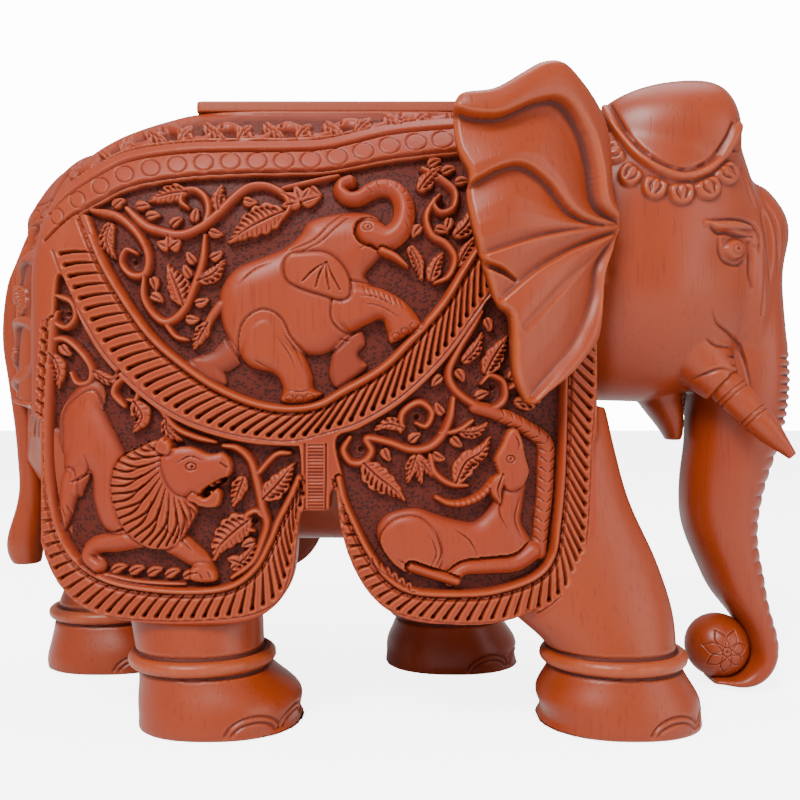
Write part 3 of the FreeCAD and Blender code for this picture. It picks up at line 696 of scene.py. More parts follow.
maneRoots = smooth([(-49.6, 62.4), (-51.0, 58.5), (-50.4, 55.5), (-48.8, 53), (-46.6, 51.4), (-44.6, 51.0)])
maneEnds = smooth([(-55.0, 64.0), (-60.4, 61.0), (-62.4, 55.6), (-61.8, 49.6), (-59, 44.4), (-54.2, 41),
                   (-49, 41),
                   (-45.4, 44.8), (-43, 49.4)])
for k in range(25):
    root, end = pointAt(maneRoots, k / 24)[0], pointAt(maneEnds, k / 24)[0]
    root = root + (end - root) * (0.34 if k % 2 else 0.03)
    ahead = end - root
    middle = (root + end) / 2 + np.array([-ahead[1], ahead[0]]) * 0.13
    cloth.cut([root, middle, root + ahead * 0.95], 0.72, 1.1, (0.5, 0.9, 1.05, 0.9))
cloth.fill([(-52, 62.4), (-50.6, 65.2), (-48.6, 63.6), (-49.2, 61.2)], 2.1, 0.9, low=1.0, moat=0.4)
cloth.ring(-44.2, 58.8, 1.15, 0.8, 0.4, 0.7)
cloth.hole(-44, 58.7, 0.45, 0.7)
cloth.cut([(-47.2, 59.6), (-44.4, 61), (-41.6, 60)], 0.5, 0.6)
cloth.cut([(-42.8, 52.4), (-40.6, 53.9), (-37.6, 55.6)], 1.1, 1.5, (0.6, 1, 1.2))
cloth.cut([(-37.8, 59.6), (-36.4, 58.6)], 0.6, 0.6, (1, 1))
for x, z in ((-40, 54.5), (-38.8, 55.2), (-40, 53)):
    cloth.knob(x, z, 0.45, 1.0)
for line in (((-67.9, 61.4), (-67.6, 58.4), (-69.2, 56), (-71.6, 55.2)), ((-67, 39.6), (-65.6, 38.2)),
             ((-66.4, 38.8), (-64.6, 37.6)), ((-42.6, 35.4), (-41.8, 33.6)), ((-40.8, 35.8), (-40, 33.8)),
             ((-57, 44.6), (-61, 43.6), (-64.4, 44)), ((-51, 45.6), (-47, 42.6), (-44, 40)),
             ((-73.2, 50), (-72.4, 46.8)), ((-72.2, 50.4), (-71.6, 48))):
    cloth.cut(line, 0.5, 0.5)

# rear flap: scrollwork
vine([(-37.6, 63.2), (-34.4, 62.6), (-31.6, 59.9), (-30, 54.8), (-28.9, 49.4), (-27.9, 46), (-28.8, 42.4),
      (-31, 37.6), (-35.7, 34)],
     (1.8, 2.4, 2.4, 2.0), -0.1)
vine([(-28.6, 47.4), (-30.4, 48.8), (-32.6, 47.6), (-32.6, 45.2), (-30.8, 44.4)], (1.6, 1.5), -0.1)
cloth.leaf([(-31.6, 47), (-35, 44.4), (-38.4, 41), (-39.6, 38)], 6.0, -0.1, 5)
cloth.leaf([(-33, 56.4), (-34.4, 52.6), (-35.6, 49.6)], 3.4, -0.2, 3)
cloth.leaf([(-28.8, 51.4), (-25.4, 55), (-22, 59.2)], 4.6, -0.1, 4)
vine([(-30, 57), (-26, 61.2), (-22.8, 61.6)], (1.6, 1.4), -0.3)
cloth.leaf([(-36, 35.8), (-32.6, 38.6), (-30.4, 42)], 2.4, -0.3, 2)
vine([(-59.6, 72), (-62, 75), (-60, 78), (-56.6, 76.6), (-57, 73.4), (-59, 73.4)], (2.0, 1.8, 1.4), -0.1)
cloth.leaf([(-57.4, 73), (-55.6, 69.6), (-57.6, 66.2)], 4.2, -0.2, 3)
vine([(-56.6, 76), (-52.4, 72.4), (-48.4, 67.4), (-44, 65.2), (-39.4, 64)], (1.8, 1.8, 1.6), -0.2)
cloth.leaf([(-50.4, 69.2), (-49.8, 66.2), (-46.6, 64)], 2.6, -0.3, 2)
for k in range(5):
    x = -62.6 + k * 4.0
    cloth.leaf([(x, 35.4 - k * 0.35), (x + 1.8, 36.4 - k * 0.35), (x + 3.6, 36.6 - k * 0.3)], 1.8, -0.3, 0)
vine([(-64, 34.8), (-58, 33.4), (-52, 32.8), (-46, 32.6)], (1.2, 1.2), -0.4)
vine([(-74.6, 96.4), (-71.4, 95), (-70.4, 91.8), (-72.4, 89.4), (-74.8, 90.4), (-74.4, 92.8)], (1.6, 1.4),
     -0.1)
vine([(-76.4, 86.4), (-73, 86.8), (-69.8, 84.4), (-67, 80.4), (-67.4, 77.4), (-70, 77), (-71.4, 79.4)],
     (1.6, 1.8, 1.4), -0.1)
cloth.leaf([(-75.8, 83.6), (-74, 80), (-74.6, 75.6)], 2.8, -0.2, 3)
cloth.leaf([(-66.4, 79.6), (-62.6, 77.8), (-60.6, 80)], 2.2, -0.3, 2)
sprout()
print("rear flap drawn")

# front flap: the lying antelope
cloth.fill([(-3.2, 46.4), (-0.6, 48.6), (5, 49.6), (9.6, 48.2), (14.5, 46.9), (18, 46.6), (20.4, 48.4),
            (22.2, 51),
            (23, 55), (23.2, 58.6), (24.4, 61.4), (29.6, 57), (29.2, 50), (29, 46), (31.6, 41.4),
            (31.6, 37.6),
            (26.4, 35.2), (16.4, 35), (8, 34.2), (2, 36.2), (-2.6, 40.2), (-3.8, 43.6)], 0.7, 5.0, moat=0.6)
cloth.fill([(23.2, 57.6), (22.6, 60.6), (24, 63.6), (25.4, 66.6), (27, 67), (28.2, 65), (29, 61),
            (29.8, 57.4),
            (28, 54), (25, 53.6)], 1.3, 2.0, low=0.2, moat=0.4)
cloth.rib([(31, 40), (27, 37.4), (21, 36.8), (15.6, 36.2), (12.6, 33.8)], (4.2, 3.8, 3.4, 3.0), 1.0,
          wall=0.4, crown=0.5, over=True)
cloth.fill([(-2.8, 43), (0.4, 47), (5.6, 47.4), (9.4, 44), (10.8, 39.6), (9.4, 35.8), (3.6, 35),
            (-1, 38.4)], 1.2, 3.4, low=0.1, moat=0.4)
cloth.rib([(4, 36.6), (10, 34.6), (14, 33.4)], (2.6, 2.2), 0.6, wall=0.35, crown=0.5, over=True)
cloth.rib([(22.4, 55.6), (19.6, 52.4), (15.8, 50.6), (12.2, 50.6), (9.6, 51.8)], (1.8, 1.9, 1.6, 1.0), 0.6,
          wall=0.3, crown=0.5, over=True)
for k in range(9):
    spot, ahead = pointAt(smooth([(22.4, 55.6), (19.6, 52.4), (15.8, 50.6), (12.2, 50.6)]), 0.08 + k * 0.1)
    cloth.cut([spot + (-ahead[1] * 0.9, ahead[0] * 0.9), spot - (-ahead[1] * 0.9, ahead[0] * 0.9)], 0.35,
              0.5, (1, 1))
cloth.leaf([(24, 57), (22.8, 53.6), (23.6, 50.4)], 2.4, 1.5, 0)
cloth.ring(25.6, 60.4, 0.9, 0.75, 0.35, 0.6)
cloth.hole(25.6, 60.4, 0.4, 0.6)
for line in (((26.2, 66), (27.4, 64), (27.2, 62)), ((9.4, 44.2), (10.6, 40), (9.2, 36.2)),
             ((8.4, 43), (9.4, 39.6), (8.2, 36.8)),
             ((28, 52), (26.8, 47.4), (28.2, 43.2)), ((1, 38.4), (4, 36.6)), ((19.6, 38.4), (25.6, 38.8)),
             ((13.2, 45), (16.6, 42.6), (18.4, 39.4)), ((24.2, 53), (23.4, 48.6), (25, 45))):
    cloth.cut(line, 0.45, 0.5)
cloth.rib([(32.6, 39.6), (33, 45), (33.8, 52), (34, 58), (33.8, 64), (29.2, 67.4), (23.7, 70.2),
           (18.4, 71.8)],
          (2.8, 3.2, 3.4, 3.0, 2.6), 0.0, crown=0.4)
for k in range(16):
    spot, ahead = pointAt(smooth([(32.8, 41), (33.2, 47), (34, 56), (33.9, 63.4), (29.2, 67.4),
                                  (22, 70.6)]), 0.03 + k * 0.06)
    for hand in (-1, 1):
        out = np.array([ahead[1], -ahead[0]]) * hand
        cloth.cut([spot + out * 0.3, spot + out * 1.5 + ahead * 0.9], 0.45, 0.6, (0.7, 1))

# front flap: scrollwork
vine([(-9.6, 65), (-11, 62.2), (-9.4, 59.6), (-6.6, 59.6), (-4.8, 62), (-5.8, 64.8), (-1, 64), (3.7, 62.4),
      (7.8, 62.8),
      (10.9, 65.4), (12.7, 69.4), (13.4, 73.6)], (2.0, 2.0, 1.8, 2.2, 2.4), -0.1)
cloth.leaf([(-6.6, 59.4), (-3.4, 56.4), (0.2, 53.6), (2.4, 51.2)], 5.4, -0.1, 5)
vine([(1.6, 66.4), (2.2, 70.6), (5.8, 72.8), (8.6, 70.6), (7.4, 67.6), (5, 68.2)], (1.8, 1.8, 1.4), -0.1)
cloth.leaf([(2.6, 67), (-1, 68), (-4.4, 66.6)], 2.6, -0.2, 2)
for turn in (-50, -80, -110):
    a = math.radians(turn)
    cloth.leaf([(5.2, 61.2), (5.2 + 3.2 * math.cos(a), 61 + 3.2 * math.sin(a)),
                (5.2 + 6.4 * math.cos(a), 60.8 + 6.4 * math.sin(a))],
               2.5, -0.2, 2)
vine([(8.2, 61.2), (9.2, 57.4), (12.6, 54.8), (16.6, 54.4)], (1.6, 1.8, 1.4), -0.2)
cloth.leaf([(14, 55), (16, 59.4), (19.4, 61.8), (21.6, 65)], 4.4, -0.1, 4)
vine([(19.8, 93), (17.4, 89), (14.4, 84.2), (12.4, 79.4), (13.8, 75.6), (18, 72.4), (22, 71.4),
      (24.8, 73.6), (24.6, 77.2),
      (21.6, 78.8), (19.6, 77)], (1.8, 2.0, 2.2, 2.0, 1.5), -0.1)
cloth.leaf([(20.4, 79), (22.4, 83), (25.6, 87.6)], 4.0, -0.1, 4)
cloth.leaf([(15.4, 81.6), (18.2, 84.6), (20.2, 88.6)], 2.6, -0.3, 2)
vine([(26, 76), (30, 79), (31, 84), (28.6, 88), (29.4, 92)], (1.8, 2.0, 1.6), -0.1)
cloth.leaf([(27, 72.8), (30.6, 73.4), (34.6, 76.4)], 3.4, -0.2, 3)
cloth.leaf([(30.6, 82), (33.4, 85.6), (35.6, 90)], 3.0, -0.2, 3)
vine([(10.4, 66), (14.4, 66.6), (17.8, 68.8)], (1.4, 1.4), -0.3)
cloth.leaf([(14.6, 66.2), (18.4, 66.4), (21.6, 68.4)], 2.4, -0.3, 2)
for k in range(6):
    x = -4.6 + k * 1.6
    cloth.leaf([(x, 38.4 - k * 1.1), (x + 0.4, 36.8 - k * 1.1), (x + 1.6, 35.6 - k * 0.9)], 1.2, -0.4, 0)
for x, z, r in ((-7.2, 62.4, 0.8), (5.2, 69.6, 0.8), (22.4, 76.2, 0.8), (-30.8, 46.4, 0.8),
                (-58.4, 75.2, 0.8), (-72.8, 92.4, 0.7)):
    cloth.hole(x, z, r, 0.9)
sprout()
print("front flap drawn")

# the rump and the back carry the same work, drawn for one side of the middle line
print("drawing the rump and the back")
rumpSizes = {"ground": -1.7, "start": -84.0, "low": 62.0, "high": 126.0, "inner": 7.0, "outer": 38.0,
             "fade": 3.0}
backSizes = {"low": 124.0, "fine": 19.0, "carved": 18.5}
rump = Card(0, 48, 56, 142, 0.2)
backCard = Card(-100, 50, 0, 30, 0.2)
rumpFrame = [(8.4, 73), (19, 72.6), (31.5, 73.5), (33, 88), (32.4, 102), (29, 112), (18, 114.6),
             (8.4, 115.4)]
rump.ground = backCard.ground = rumpSizes["ground"]
rump.lower(rumpFrame, rump.ground)
rump.rib(rumpFrame + rumpFrame[:1], (1.7,), 0.5, wall=0.3, crown=0.55, over=True)
feather(rump, [(5, 70.6), (19, 70.2), (36, 71)], [(5, 64.4), (19, 64), (36, 64.8)],
        clothSizes["commaPitch"], 5.0, 0.95, 1.2)
for line, width in (([(4, 117.6), (18, 117), (31, 114.4)], 0.8),
                    ([(4, 123.2), (18, 122.6), (31, 119.6)], 0.8)):
    rump.cut(line, width, 0.9, (1, 1))
for k in range(5):
    rump.ring(7.2 + k * 5.6, 120.3 - 0.004 * (7.2 + k * 5.6) ** 2, 2.3, 1.75, 0.45, 0.45)
rumpVines = [([(9.8, 75.4), (17, 77), (24.6, 80.4), (27.6, 86.4), (24, 92), (17.6, 91.6), (15.4, 86.8),
               (19, 84)], 2.0),
             ([(26.4, 89.6), (29.4, 96), (27.4, 103.4), (21.4, 107.8), (14.4, 106.4), (12.4, 100.8),
               (16.4, 97.6), (19.4, 100.4)], 2.0),
             ([(16, 91), (11.4, 92.6), (10.2, 98)], 1.6)]
for points, width in rumpVines:
    rump.rib(points, (width,), -0.1, wall=0.35, crown=0.5)
for points, width in (([(20.4, 85.6), (14.6, 82.4), (10.6, 79.4)], 4.4),
                      ([(29.6, 76.4), (30.4, 81.4), (30.2, 87.4)], 3.4),
                      ([(20.6, 100.8), (22.4, 96.8), (22, 93.4)], 4.2),
                      ([(25.6, 106.2), (28.6, 107.8), (30.4, 104)], 2.8),
                      ([(13.4, 107.6), (11.6, 110.6), (14.4, 113)], 3.2),
                      ([(10, 86.6), (11.4, 89.4), (14, 90)], 2.6)):
    rump.leaf(points, width, -0.2, 3)
backFrames = [[(-92, 3), (-55, 3), (-55, 15.4), (-70, 15.6), (-88, 13.4)],
              [(20.5, 3), (42, 3), (42, 18.4), (20.5, 17.4)]]
for outline in backFrames:
    backCard.lower(outline, backCard.ground)
backVines = [[(-90, 5), (-85, 9.6), (-79, 10.8), (-73, 7), (-67, 5.2), (-61, 8.4), (-58.4, 12.4)],
             [(22, 5), (26, 10.4), (31, 13), (35.6, 10.4), (34.6, 6.4), (30.6, 6.6)]]
for points in backVines:
    backCard.rib(points, (1.8,), -0.1, wall=0.35, crown=0.5)
for points, width in (([(-84, 8.6), (-81.4, 6), (-77.6, 4.6)], 3.0),
                      ([(-74.4, 8.6), (-70.6, 11.6), (-65.4, 12.6)], 4.0),
                      ([(-64.4, 5.6), (-60.6, 5), (-57, 6)], 3.0),
                      ([(25, 9), (23.4, 12.4), (23.6, 15.6)], 3.2),
                      ([(35.8, 10), (38.4, 12.6), (40.2, 16.2)], 3.8),
                      ([(36, 7), (38.2, 5.6), (40.8, 5.4)], 2.6)):
    backCard.leaf(points, width, -0.2, 3)

# the cloth's surface, measured from the CAD body as radii round a lengthwise axis
clothFrame = {"axis": 90.0, "first": -100.5, "last": 45.5, "step": 1.5, "turn": 1.5, "reach": 80.0,
              "rear": -97.2, "front": 50.0, "hem": 45.6}
source = mergedCopy("source_body", ["body_block"])
sourceTree = BVHTree.FromObject(source, bpy.context.evaluated_depsgraph_get())
stations = np.arange(clothFrame["first"], clothFrame["last"] + 0.1, clothFrame["step"])
turns = np.radians(np.arange(0, 90.1, clothFrame["turn"]))
radii = np.zeros((len(stations), len(turns)))
for i, x in enumerate(stations):
    for j, turn in enumerate(turns):
        out = Vector((0, -math.cos(turn), math.sin(turn)))
        start = Vector((x, 0, clothFrame["axis"])) + out * clothFrame["reach"]
        hit = sourceTree.ray_cast(start * mm, -out, clothFrame["reach"] * mm)
        radii[i, j] = 0 if hit[0] is None else clothFrame["reach"] - hit[3] / mm
# the last turns before the middle line never fall, which bridges the dowel bores
radii[:, -8:] = np.maximum.accumulate(radii[:, -8:], axis=1)


def clothRadius(x, turn):
    c = np.clip((x - stations[0]) / clothFrame["step"], 0, len(stations) - 1.001)
    r = np.clip(turn / turns[1], 0, len(turns) - 1.001)
    i, j = c.astype(int), r.astype(int)
    u, v = c - i, r - j
    level = ((radii[i, j] * (1 - v) + radii[i, j + 1] * v) * (1 - u)
             + (radii[i + 1, j] * (1 - v) + radii[i + 1, j + 1] * v) * u)
    return np.where((x < clothFrame["rear"]) | (x > clothFrame["front"]), 0, level)


def mirrorPiece(piece, name):
    # the same piece for the left side
    shape = bmesh.new()
    shape.from_mesh(piece.data)
    for vert in shape.verts:
        vert.co.y = -vert.co.y
    bmesh.ops.reverse_faces(shape, faces=shape.faces)
    mesh = bpy.data.meshes.new(name)
    shape.to_mesh(mesh)
    shape.free()
    return addPiece(name, mesh)


def sight(points, normals):
    # how squarely the eye beside the elephant sees each point; 1 is face on
    side = np.where(points[:, 1] > 0, 1.0, -1.0)
    ray = np.stack([eye["x"] - points[:, 0], side * eye["distance"] - points[:, 1],
                    eye["z"] - points[:, 2]], 1)
    return (ray * normals).sum(1) / np.linalg.norm(ray, axis=1)


def broadNormals(mesh, edges, times):
    found = readNormals(mesh)
    for _ in range(times):
        found = neighbourMean(found, edges)
    return found / np.maximum(np.linalg.norm(found, axis=1), 1e-9)[:, None]


def refine(piece, wanted):
    # one more cut through every wanted face
    shape = bmesh.new()
    shape.from_mesh(piece.data)
    edges = {link for face, fine in zip(shape.faces, wanted) if fine for link in face.edges}
    bmesh.ops.subdivide_edges(shape, edges=list(edges), cuts=1, use_grid_fill=True)
    shape.to_mesh(piece.data)
    shape.free()


def splitPiece(piece, names, label):
    # parts a skin by the number on each face
    mesh = piece.data
    mesh.materials.clear()
    for name in names:
        mesh.materials.append(bpy.data.materials.new("sort_" + name))
    mesh.polygons.foreach_set("material_index", np.asarray(label, dtype=np.int32))
    part = mesh.attributes.new("part", "INT", "FACE")
    part.data.foreach_set("value", np.asarray(label, dtype=np.int32))
    before = set(bpy.data.objects)
    bpy.ops.object.select_all(action="DESELECT")
    piece.select_set(True)
    bpy.context.view_layer.objects.active = piece
    bpy.ops.object.mode_set(mode="EDIT")
    bpy.ops.mesh.select_all(action="SELECT")
    bpy.ops.mesh.separate(type="MATERIAL")
    bpy.ops.object.mode_set(mode="OBJECT")
    found = [piece] + [other for other in bpy.data.objects if other not in before]
    for made in found:
        number = made.data.attributes["part"].data[0].value
        made.data.attributes.remove(made.data.attributes["part"])
        made.data.materials.clear()
        made.name = made.data.name = names[number]
    for left in [material for material in bpy.data.materials if material.name.startswith("sort_")]:
        bpy.data.materials.remove(left)
    return sorted(found, key=lambda made: names.index(made.name))


# the body: one skin over cloth, belly and legs, finest where it is carved
print("body")
bodySizes = {"voxel": 0.52, "smoothing": 4, "flush": 1.3, "sole": 0.45,
             "rumpPull": 4.2, "split": -15.0, "spine": 5.0}
footSizes = {"low": 0.3, "high": 9.0, "reach": 26.0, "radius": 18.5, "nailDepth": 0.45, "nailWidth": 0.4,
             "centres": ((51.8, -26), (-39.7, -26), (16.2, 26), (-79.2, 26)), "toes": (-58, -19, 19, 58),
             "nails": ((6.8, 4.7), (5.4, 3.3))}
ankletSizes = {"low": 10.0, "high": 26.0, "middle": 14.6, "swell": 0.75, "half": 1.55, "groove": 0.55,
               "grooveAt": 2.0, "grooveHalf": 0.55}
coverEdge = [(-80.5, 104), (-79.4, 90), (-80.6, 74.9), (-81, 63.6), (-80.4, 52.4), (-78.4, 40.8),
             (-74.4, 30.2),
             (-69, 25.4), (-61.5, 23.6), (-50, 22.8), (-38.5, 23.2), (-30, 24.6), (-24, 28), (-21.4, 33.9),
             (-20.3, 41.2), (-19.6, 47.4), (-14.4, 47.4), (-12.3, 42.3), (-10.9, 36.8), (-7.3, 30),
             (-1.6, 25.7),
             (4.6, 23.5), (13.2, 22.4), (22.2, 22.6), (31.6, 24.3), (38.8, 29.6), (43.2, 35.5), (44.6, 44),
             (45.2, 55.3), (45.8, 66.5), (46.8, 77), (48, 98), (48, 150), (-96, 150), (-96, 104)]


def onCloth(points):
    X, Z = toCard(points)
    up = np.maximum(points[:, 2] - clothFrame["axis"], 0)
    away = np.hypot(np.abs(points[:, 1]), up)
    level = clothRadius(points[:, 0], np.arctan2(up, np.abs(points[:, 1])))
    flush = np.abs(level - away) < bodySizes["flush"]
    return isInside(coverEdge, X, Z) & flush & (points[:, 0] < clothFrame["hem"])


def flatten(points):
    # brings the soles level with the floor
    points[:, 2] = np.where(points[:, 2] < bodySizes["sole"], 0, points[:, 2])
    return points


body = remesh(mergedCopy("body_skin", ["body_block"]), bodySizes["voxel"])
points = relax(readPoints(body.data), readEdges(body.data), bodySizes["smoothing"])
writePoints(body.data, flatten(points))
centres = faceCentres(body.data)
onRump = ((centres[:, 0] < rumpSizes["start"]) & (centres[:, 2] > rumpSizes["low"])
          & (centres[:, 2] < rumpSizes["high"]))
onBack = (centres[:, 2] > backSizes["low"]) & (np.abs(centres[:, 1]) < backSizes["fine"])
onToes = (centres[:, 2] < footSizes["high"]) & (centres[:, 2] > footSizes["low"])
refine(body, onCloth(centres) | onRump | onBack | onToes)
points, edges = readPoints(body.data), readEdges(body.data)
points = flatten(relax(points, edges, 2))
writePoints(body.data, points)
carved = onCloth(points)
share = relax(carved.astype(float)[:, None], edges, 2)[:, 0] * carved
share = share * ease((sight(points, readNormals(body.data)) - 0.06) / 0.22)
X, Z = toCard(points)
height = cloth.sample(cloth.height, X, Z) * share
wide = broadNormals(body.data, edges, 14)
offMiddle = np.abs(points[:, 1])
# how much of the rump's and the back's drawing each point takes: none where the skin turns away
rear = (ease((-wide[:, 0] - 0.45) / 0.25)
        * ease((points[:, 2] - rumpSizes["low"]) / 2)
        * (points[:, 0] < rumpSizes["start"])
        * ease((offMiddle - rumpSizes["inner"] + rumpSizes["fade"]) / rumpSizes["fade"])
        * ease((rumpSizes["outer"] - offMiddle) / rumpSizes["fade"])
        * (1 - share))
over = (ease((wide[:, 2] - 0.7) / 0.15)
        * ease((backSizes["carved"] - offMiddle) / 2)
        * (points[:, 2] > backSizes["low"])
        * (1 - share)
        * (1 - rear))
height = height + rear * rump.sample(rump.height, offMiddle, points[:, 2])
height = height + over * backCard.sample(backCard.height, points[:, 0], offMiddle)
dressed = carved | (rear > 0.05) | (over > 0.05)
away = np.where(dressed[:, None], wide, readNormals(body.data))
# toenails: two arcs on each of four toes round every foot
for footX, footY in footSizes["centres"]:
    offX, offY = points[:, 0] - footX, points[:, 1] - footY
    near = (points[:, 2] < footSizes["high"]) & (np.hypot(offX, offY) < footSizes["reach"])
    turn = np.degrees(np.arctan2(offY, offX))
    for toe in footSizes["toes"]:
        along = np.radians(turn - toe) * footSizes["radius"]
        for nailWide, nailHigh in footSizes["nails"]:
            off = np.abs(np.hypot(along / nailWide, points[:, 2] / nailHigh) - 1) * nailHigh
            bite = np.clip(1 - (off / footSizes["nailWidth"]) ** 2, 0, 1)
            height = height - near * footSizes["nailDepth"] * bite * ease((points[:, 2] - 0.5) / 0.8)
# a rolled anklet on every leg, with a groove on each side
below = (points[:, 2] > ankletSizes["low"]) & (points[:, 2] < ankletSizes["high"]) & ~dressed
off = np.abs(points[:, 2] - ankletSizes["middle"])
swell = np.sqrt(np.clip(1 - (off / ankletSizes["half"]) ** 2, 0, 1))
groove = np.clip(1 - (np.abs(off - ankletSizes["grooveAt"]) / ankletSizes["grooveHalf"]) ** 2, 0, 1)
height = height + below * (ankletSizes["swell"] * swell - ankletSizes["groove"] * groove)
centres = faceCentres(body.data)
X, Z = toCard(centres)
outer = onCloth(centres) & (np.abs(centres[:, 1]) > bodySizes["spine"])
panel = np.select([isInside(bandLow + [(60, 130), (60, 160), (-110, 160), (-110, 108)], X, Z),
                   isInside([(-77.2, 108.2)] + bandLow[1:] + [(30, 106)] + swagOuter[::-1], X, Z),
                   X < -17.1], [0, 1, 2], 3)
plain = np.where(centres[:, 0] > bodySizes["split"], 0, 1)
label = np.where(outer, 2 + panel + np.where(centres[:, 1] > 0, 4, 0), plain)
points = points + away * height[:, None]
# the rump is rounder than the block it is cut from
offMiddle = np.abs(points[:, 1])
points[:, 0] += (bodySizes["rumpPull"]
                 * ease((offMiddle - 3) / 10)
                 * ease((36 - offMiddle) / 12)
                 * ease((-points[:, 0] - 74) / 18)
                 * ease((points[:, 2] - 30) / 20))
writePoints(body.data, points)
markHollows(body, 1.0, np.clip(-height / 2.2, 0, 1) * dressed)
bodyPieces = splitPiece(body, ["body_front", "body_rear"]
                        + [part + hand for hand in ("_right", "_left")
                           for part in ("cloth_band", "cloth_upper", "rear_flap", "front_flap")], label)
dropPiece(source)

# the head, drawn on its own card
print("head")
headSizes = {"voxel": 0.36, "trunk": 61.0, "drawn": 60.0,
             "cap": (73.0, 11.5, 138.0), "capFront": 12.4, "capBack": 26.0, "capWide": 13.0,
             "capHigh": 14.6,
             "capPower": 3.0, "valley": 5.0, "petal": 6.1, "petalCentre": (62.5, 135.0),
             "dowelSplit": 111.0,
             "serration": 2.16, "wrinkle": 3.3, "wrinkleTop": 63.0}
# where the block's facets are smoothed away: the front of the face, the domes and the tusk sheaths
calmSizes = {"lip": 72.0, "front": 74.0, "dome": 126.0, "sheath": (75.5, 86.0), "sheathReach": 7.0}
face = Card(38, 96, 56, 158, 0.15)
capRim = [(44.6, 141.5), (46.6, 137.6), (51.3, 129.7), (57.4, 124.6), (64.3, 122.4), (70.4, 124.8),
          (74.2, 129.8), (76.0, 133.6)]
face.fill(capRim[1:-1] + [(77.5, 140), (76, 149), (64, 152), (52, 150), (46, 144)], 0.6, 8, low=0.0)
face.rib(capRim, 1.7, 1.5, wall=0.5, crown=0.6, over=True)
for away, width, depth in ((1.5, 1.1, 0.9), (-2.1, 2.4, 1.5)):
    face.cut(offset(smooth(capRim), away), width, depth, (0.8, 1, 1, 0.8))
petals = [(48.0, 127.4), (51.8, 122.4), (57.3, 119.5), (63.5, 118.3), (69.5, 119.5), (73.8, 122.8)]
for x, z in petals:
    out = np.array([x, z]) - headSizes["petalCentre"]
    out /= np.hypot(*out)
    side = np.array([-out[1], out[0]])
    root = np.array([x, z]) - out * 1.2
    half = headSizes["petal"] / 2 * (0.92 if abs(x - 63) < 8 else 0.78)
    face.fill([root - side * half * 0.8 - out * 1.2, root - side * half * 1.0 + out * 0.8,
               root - side * half * 0.72 + out * 2.5, root + out * 3.3,
               root + side * half * 0.72 + out * 2.5, root + side * half * 1.0 + out * 0.8,
               root + side * half * 0.8 - out * 1.2], 1.25, 1.1, moat=0.35)
    for hand in (-1, 1):
        face.cut([root - out * 1.2 + side * hand * 0.5, root + out * 0.4 + side * hand * 1.15,
                  root + out * 1.9 + side * hand * 0.45], 0.75, 0.95, (0.6, 1.0, 0.8))
    face.knob(*(root + out * 1.6), 0.55, 1.5)
face.dent(74.6, 105.5, 5.5, 5.0, 1.0)
face.dent(61.5, 96, 11, 11, -1.0)
face.dent(79.6, 91, 3.0, 7.0, 0.7)
face.rib([(69.0, 112.4), (71.8, 111.7), (75.0, 111.5), (78.4, 110.6), (80.0, 108.4)],
         (0.8, 2.0, 2.4, 2.0, 1.0), 0.9,
         wall=0.5, crown=0.5)
face.lower([(72.4, 109.6), (79.0, 108.8), (78.4, 104.6), (76.4, 103.4), (73.6, 104.0)], -0.7, 0.8)
for line, width, depth in (
        (((69.0, 112.3), (71.4, 110.3), (73.6, 110.2), (76.7, 109.5), (79.2, 109.2)), 1.0, 1.1),
        (((68.9, 112.8), (72.1, 113.0), (76.3, 112.9), (79.4, 111.6), (80.8, 109.0), (80.9, 106.0)), 0.9,
         0.9),
        (((72.0, 109.4), (72.3, 106.2), (73.5, 103.8), (76.2, 103.0), (77.8, 104.2)), 0.9, 0.9),
        (((78.6, 108.4), (78.9, 104.4), (78.7, 100.8), (79.2, 98.0)), 0.9, 0.9),
        (((76.6, 124.4), (79.4, 117.6), (81.9, 112.4), (82.9, 106.4), (82.4, 98.5), (81.6, 92.0)), 1.7,
         1.2),
        (((80.6, 119.2), (84.0, 112.4), (85.0, 106.0), (84.4, 98.5)), 0.9, 0.7),
        (((69.9, 93.4), (71.2, 90.2), (73.6, 88.2), (76.2, 85.4), (77.9, 81.0)), 0.8, 0.8),
        (((68.6, 87.0), (71.0, 85.4), (74.2, 84.9)), 0.8, 0.85),
        (((74.4, 86.8), (77.0, 82.8), (78.4, 78.0), (78.9, 74.4)), 0.7, 0.6),
        (((65.2, 77.6), (68.6, 79.0), (72.2, 80.3), (75.2, 79.8)), 0.8, 0.8)):
    face.cut(line, width, depth, (0.4, 1, 1, 0.5))
face.fill([(73.2, 106.8), (74.4, 108.4), (76.2, 108.6), (77.8, 107.0), (77.0, 105.0), (75.2, 104.3),
           (73.7, 105.2)], 0.8, 1.6, low=-0.7)
face.ring(75.7, 106.6, 1.1, 1.1, 0.4, 0.5)
face.hole(75.8, 106.7, 0.5, 0.7)

face.height = face.soften(face.height, 0.4)

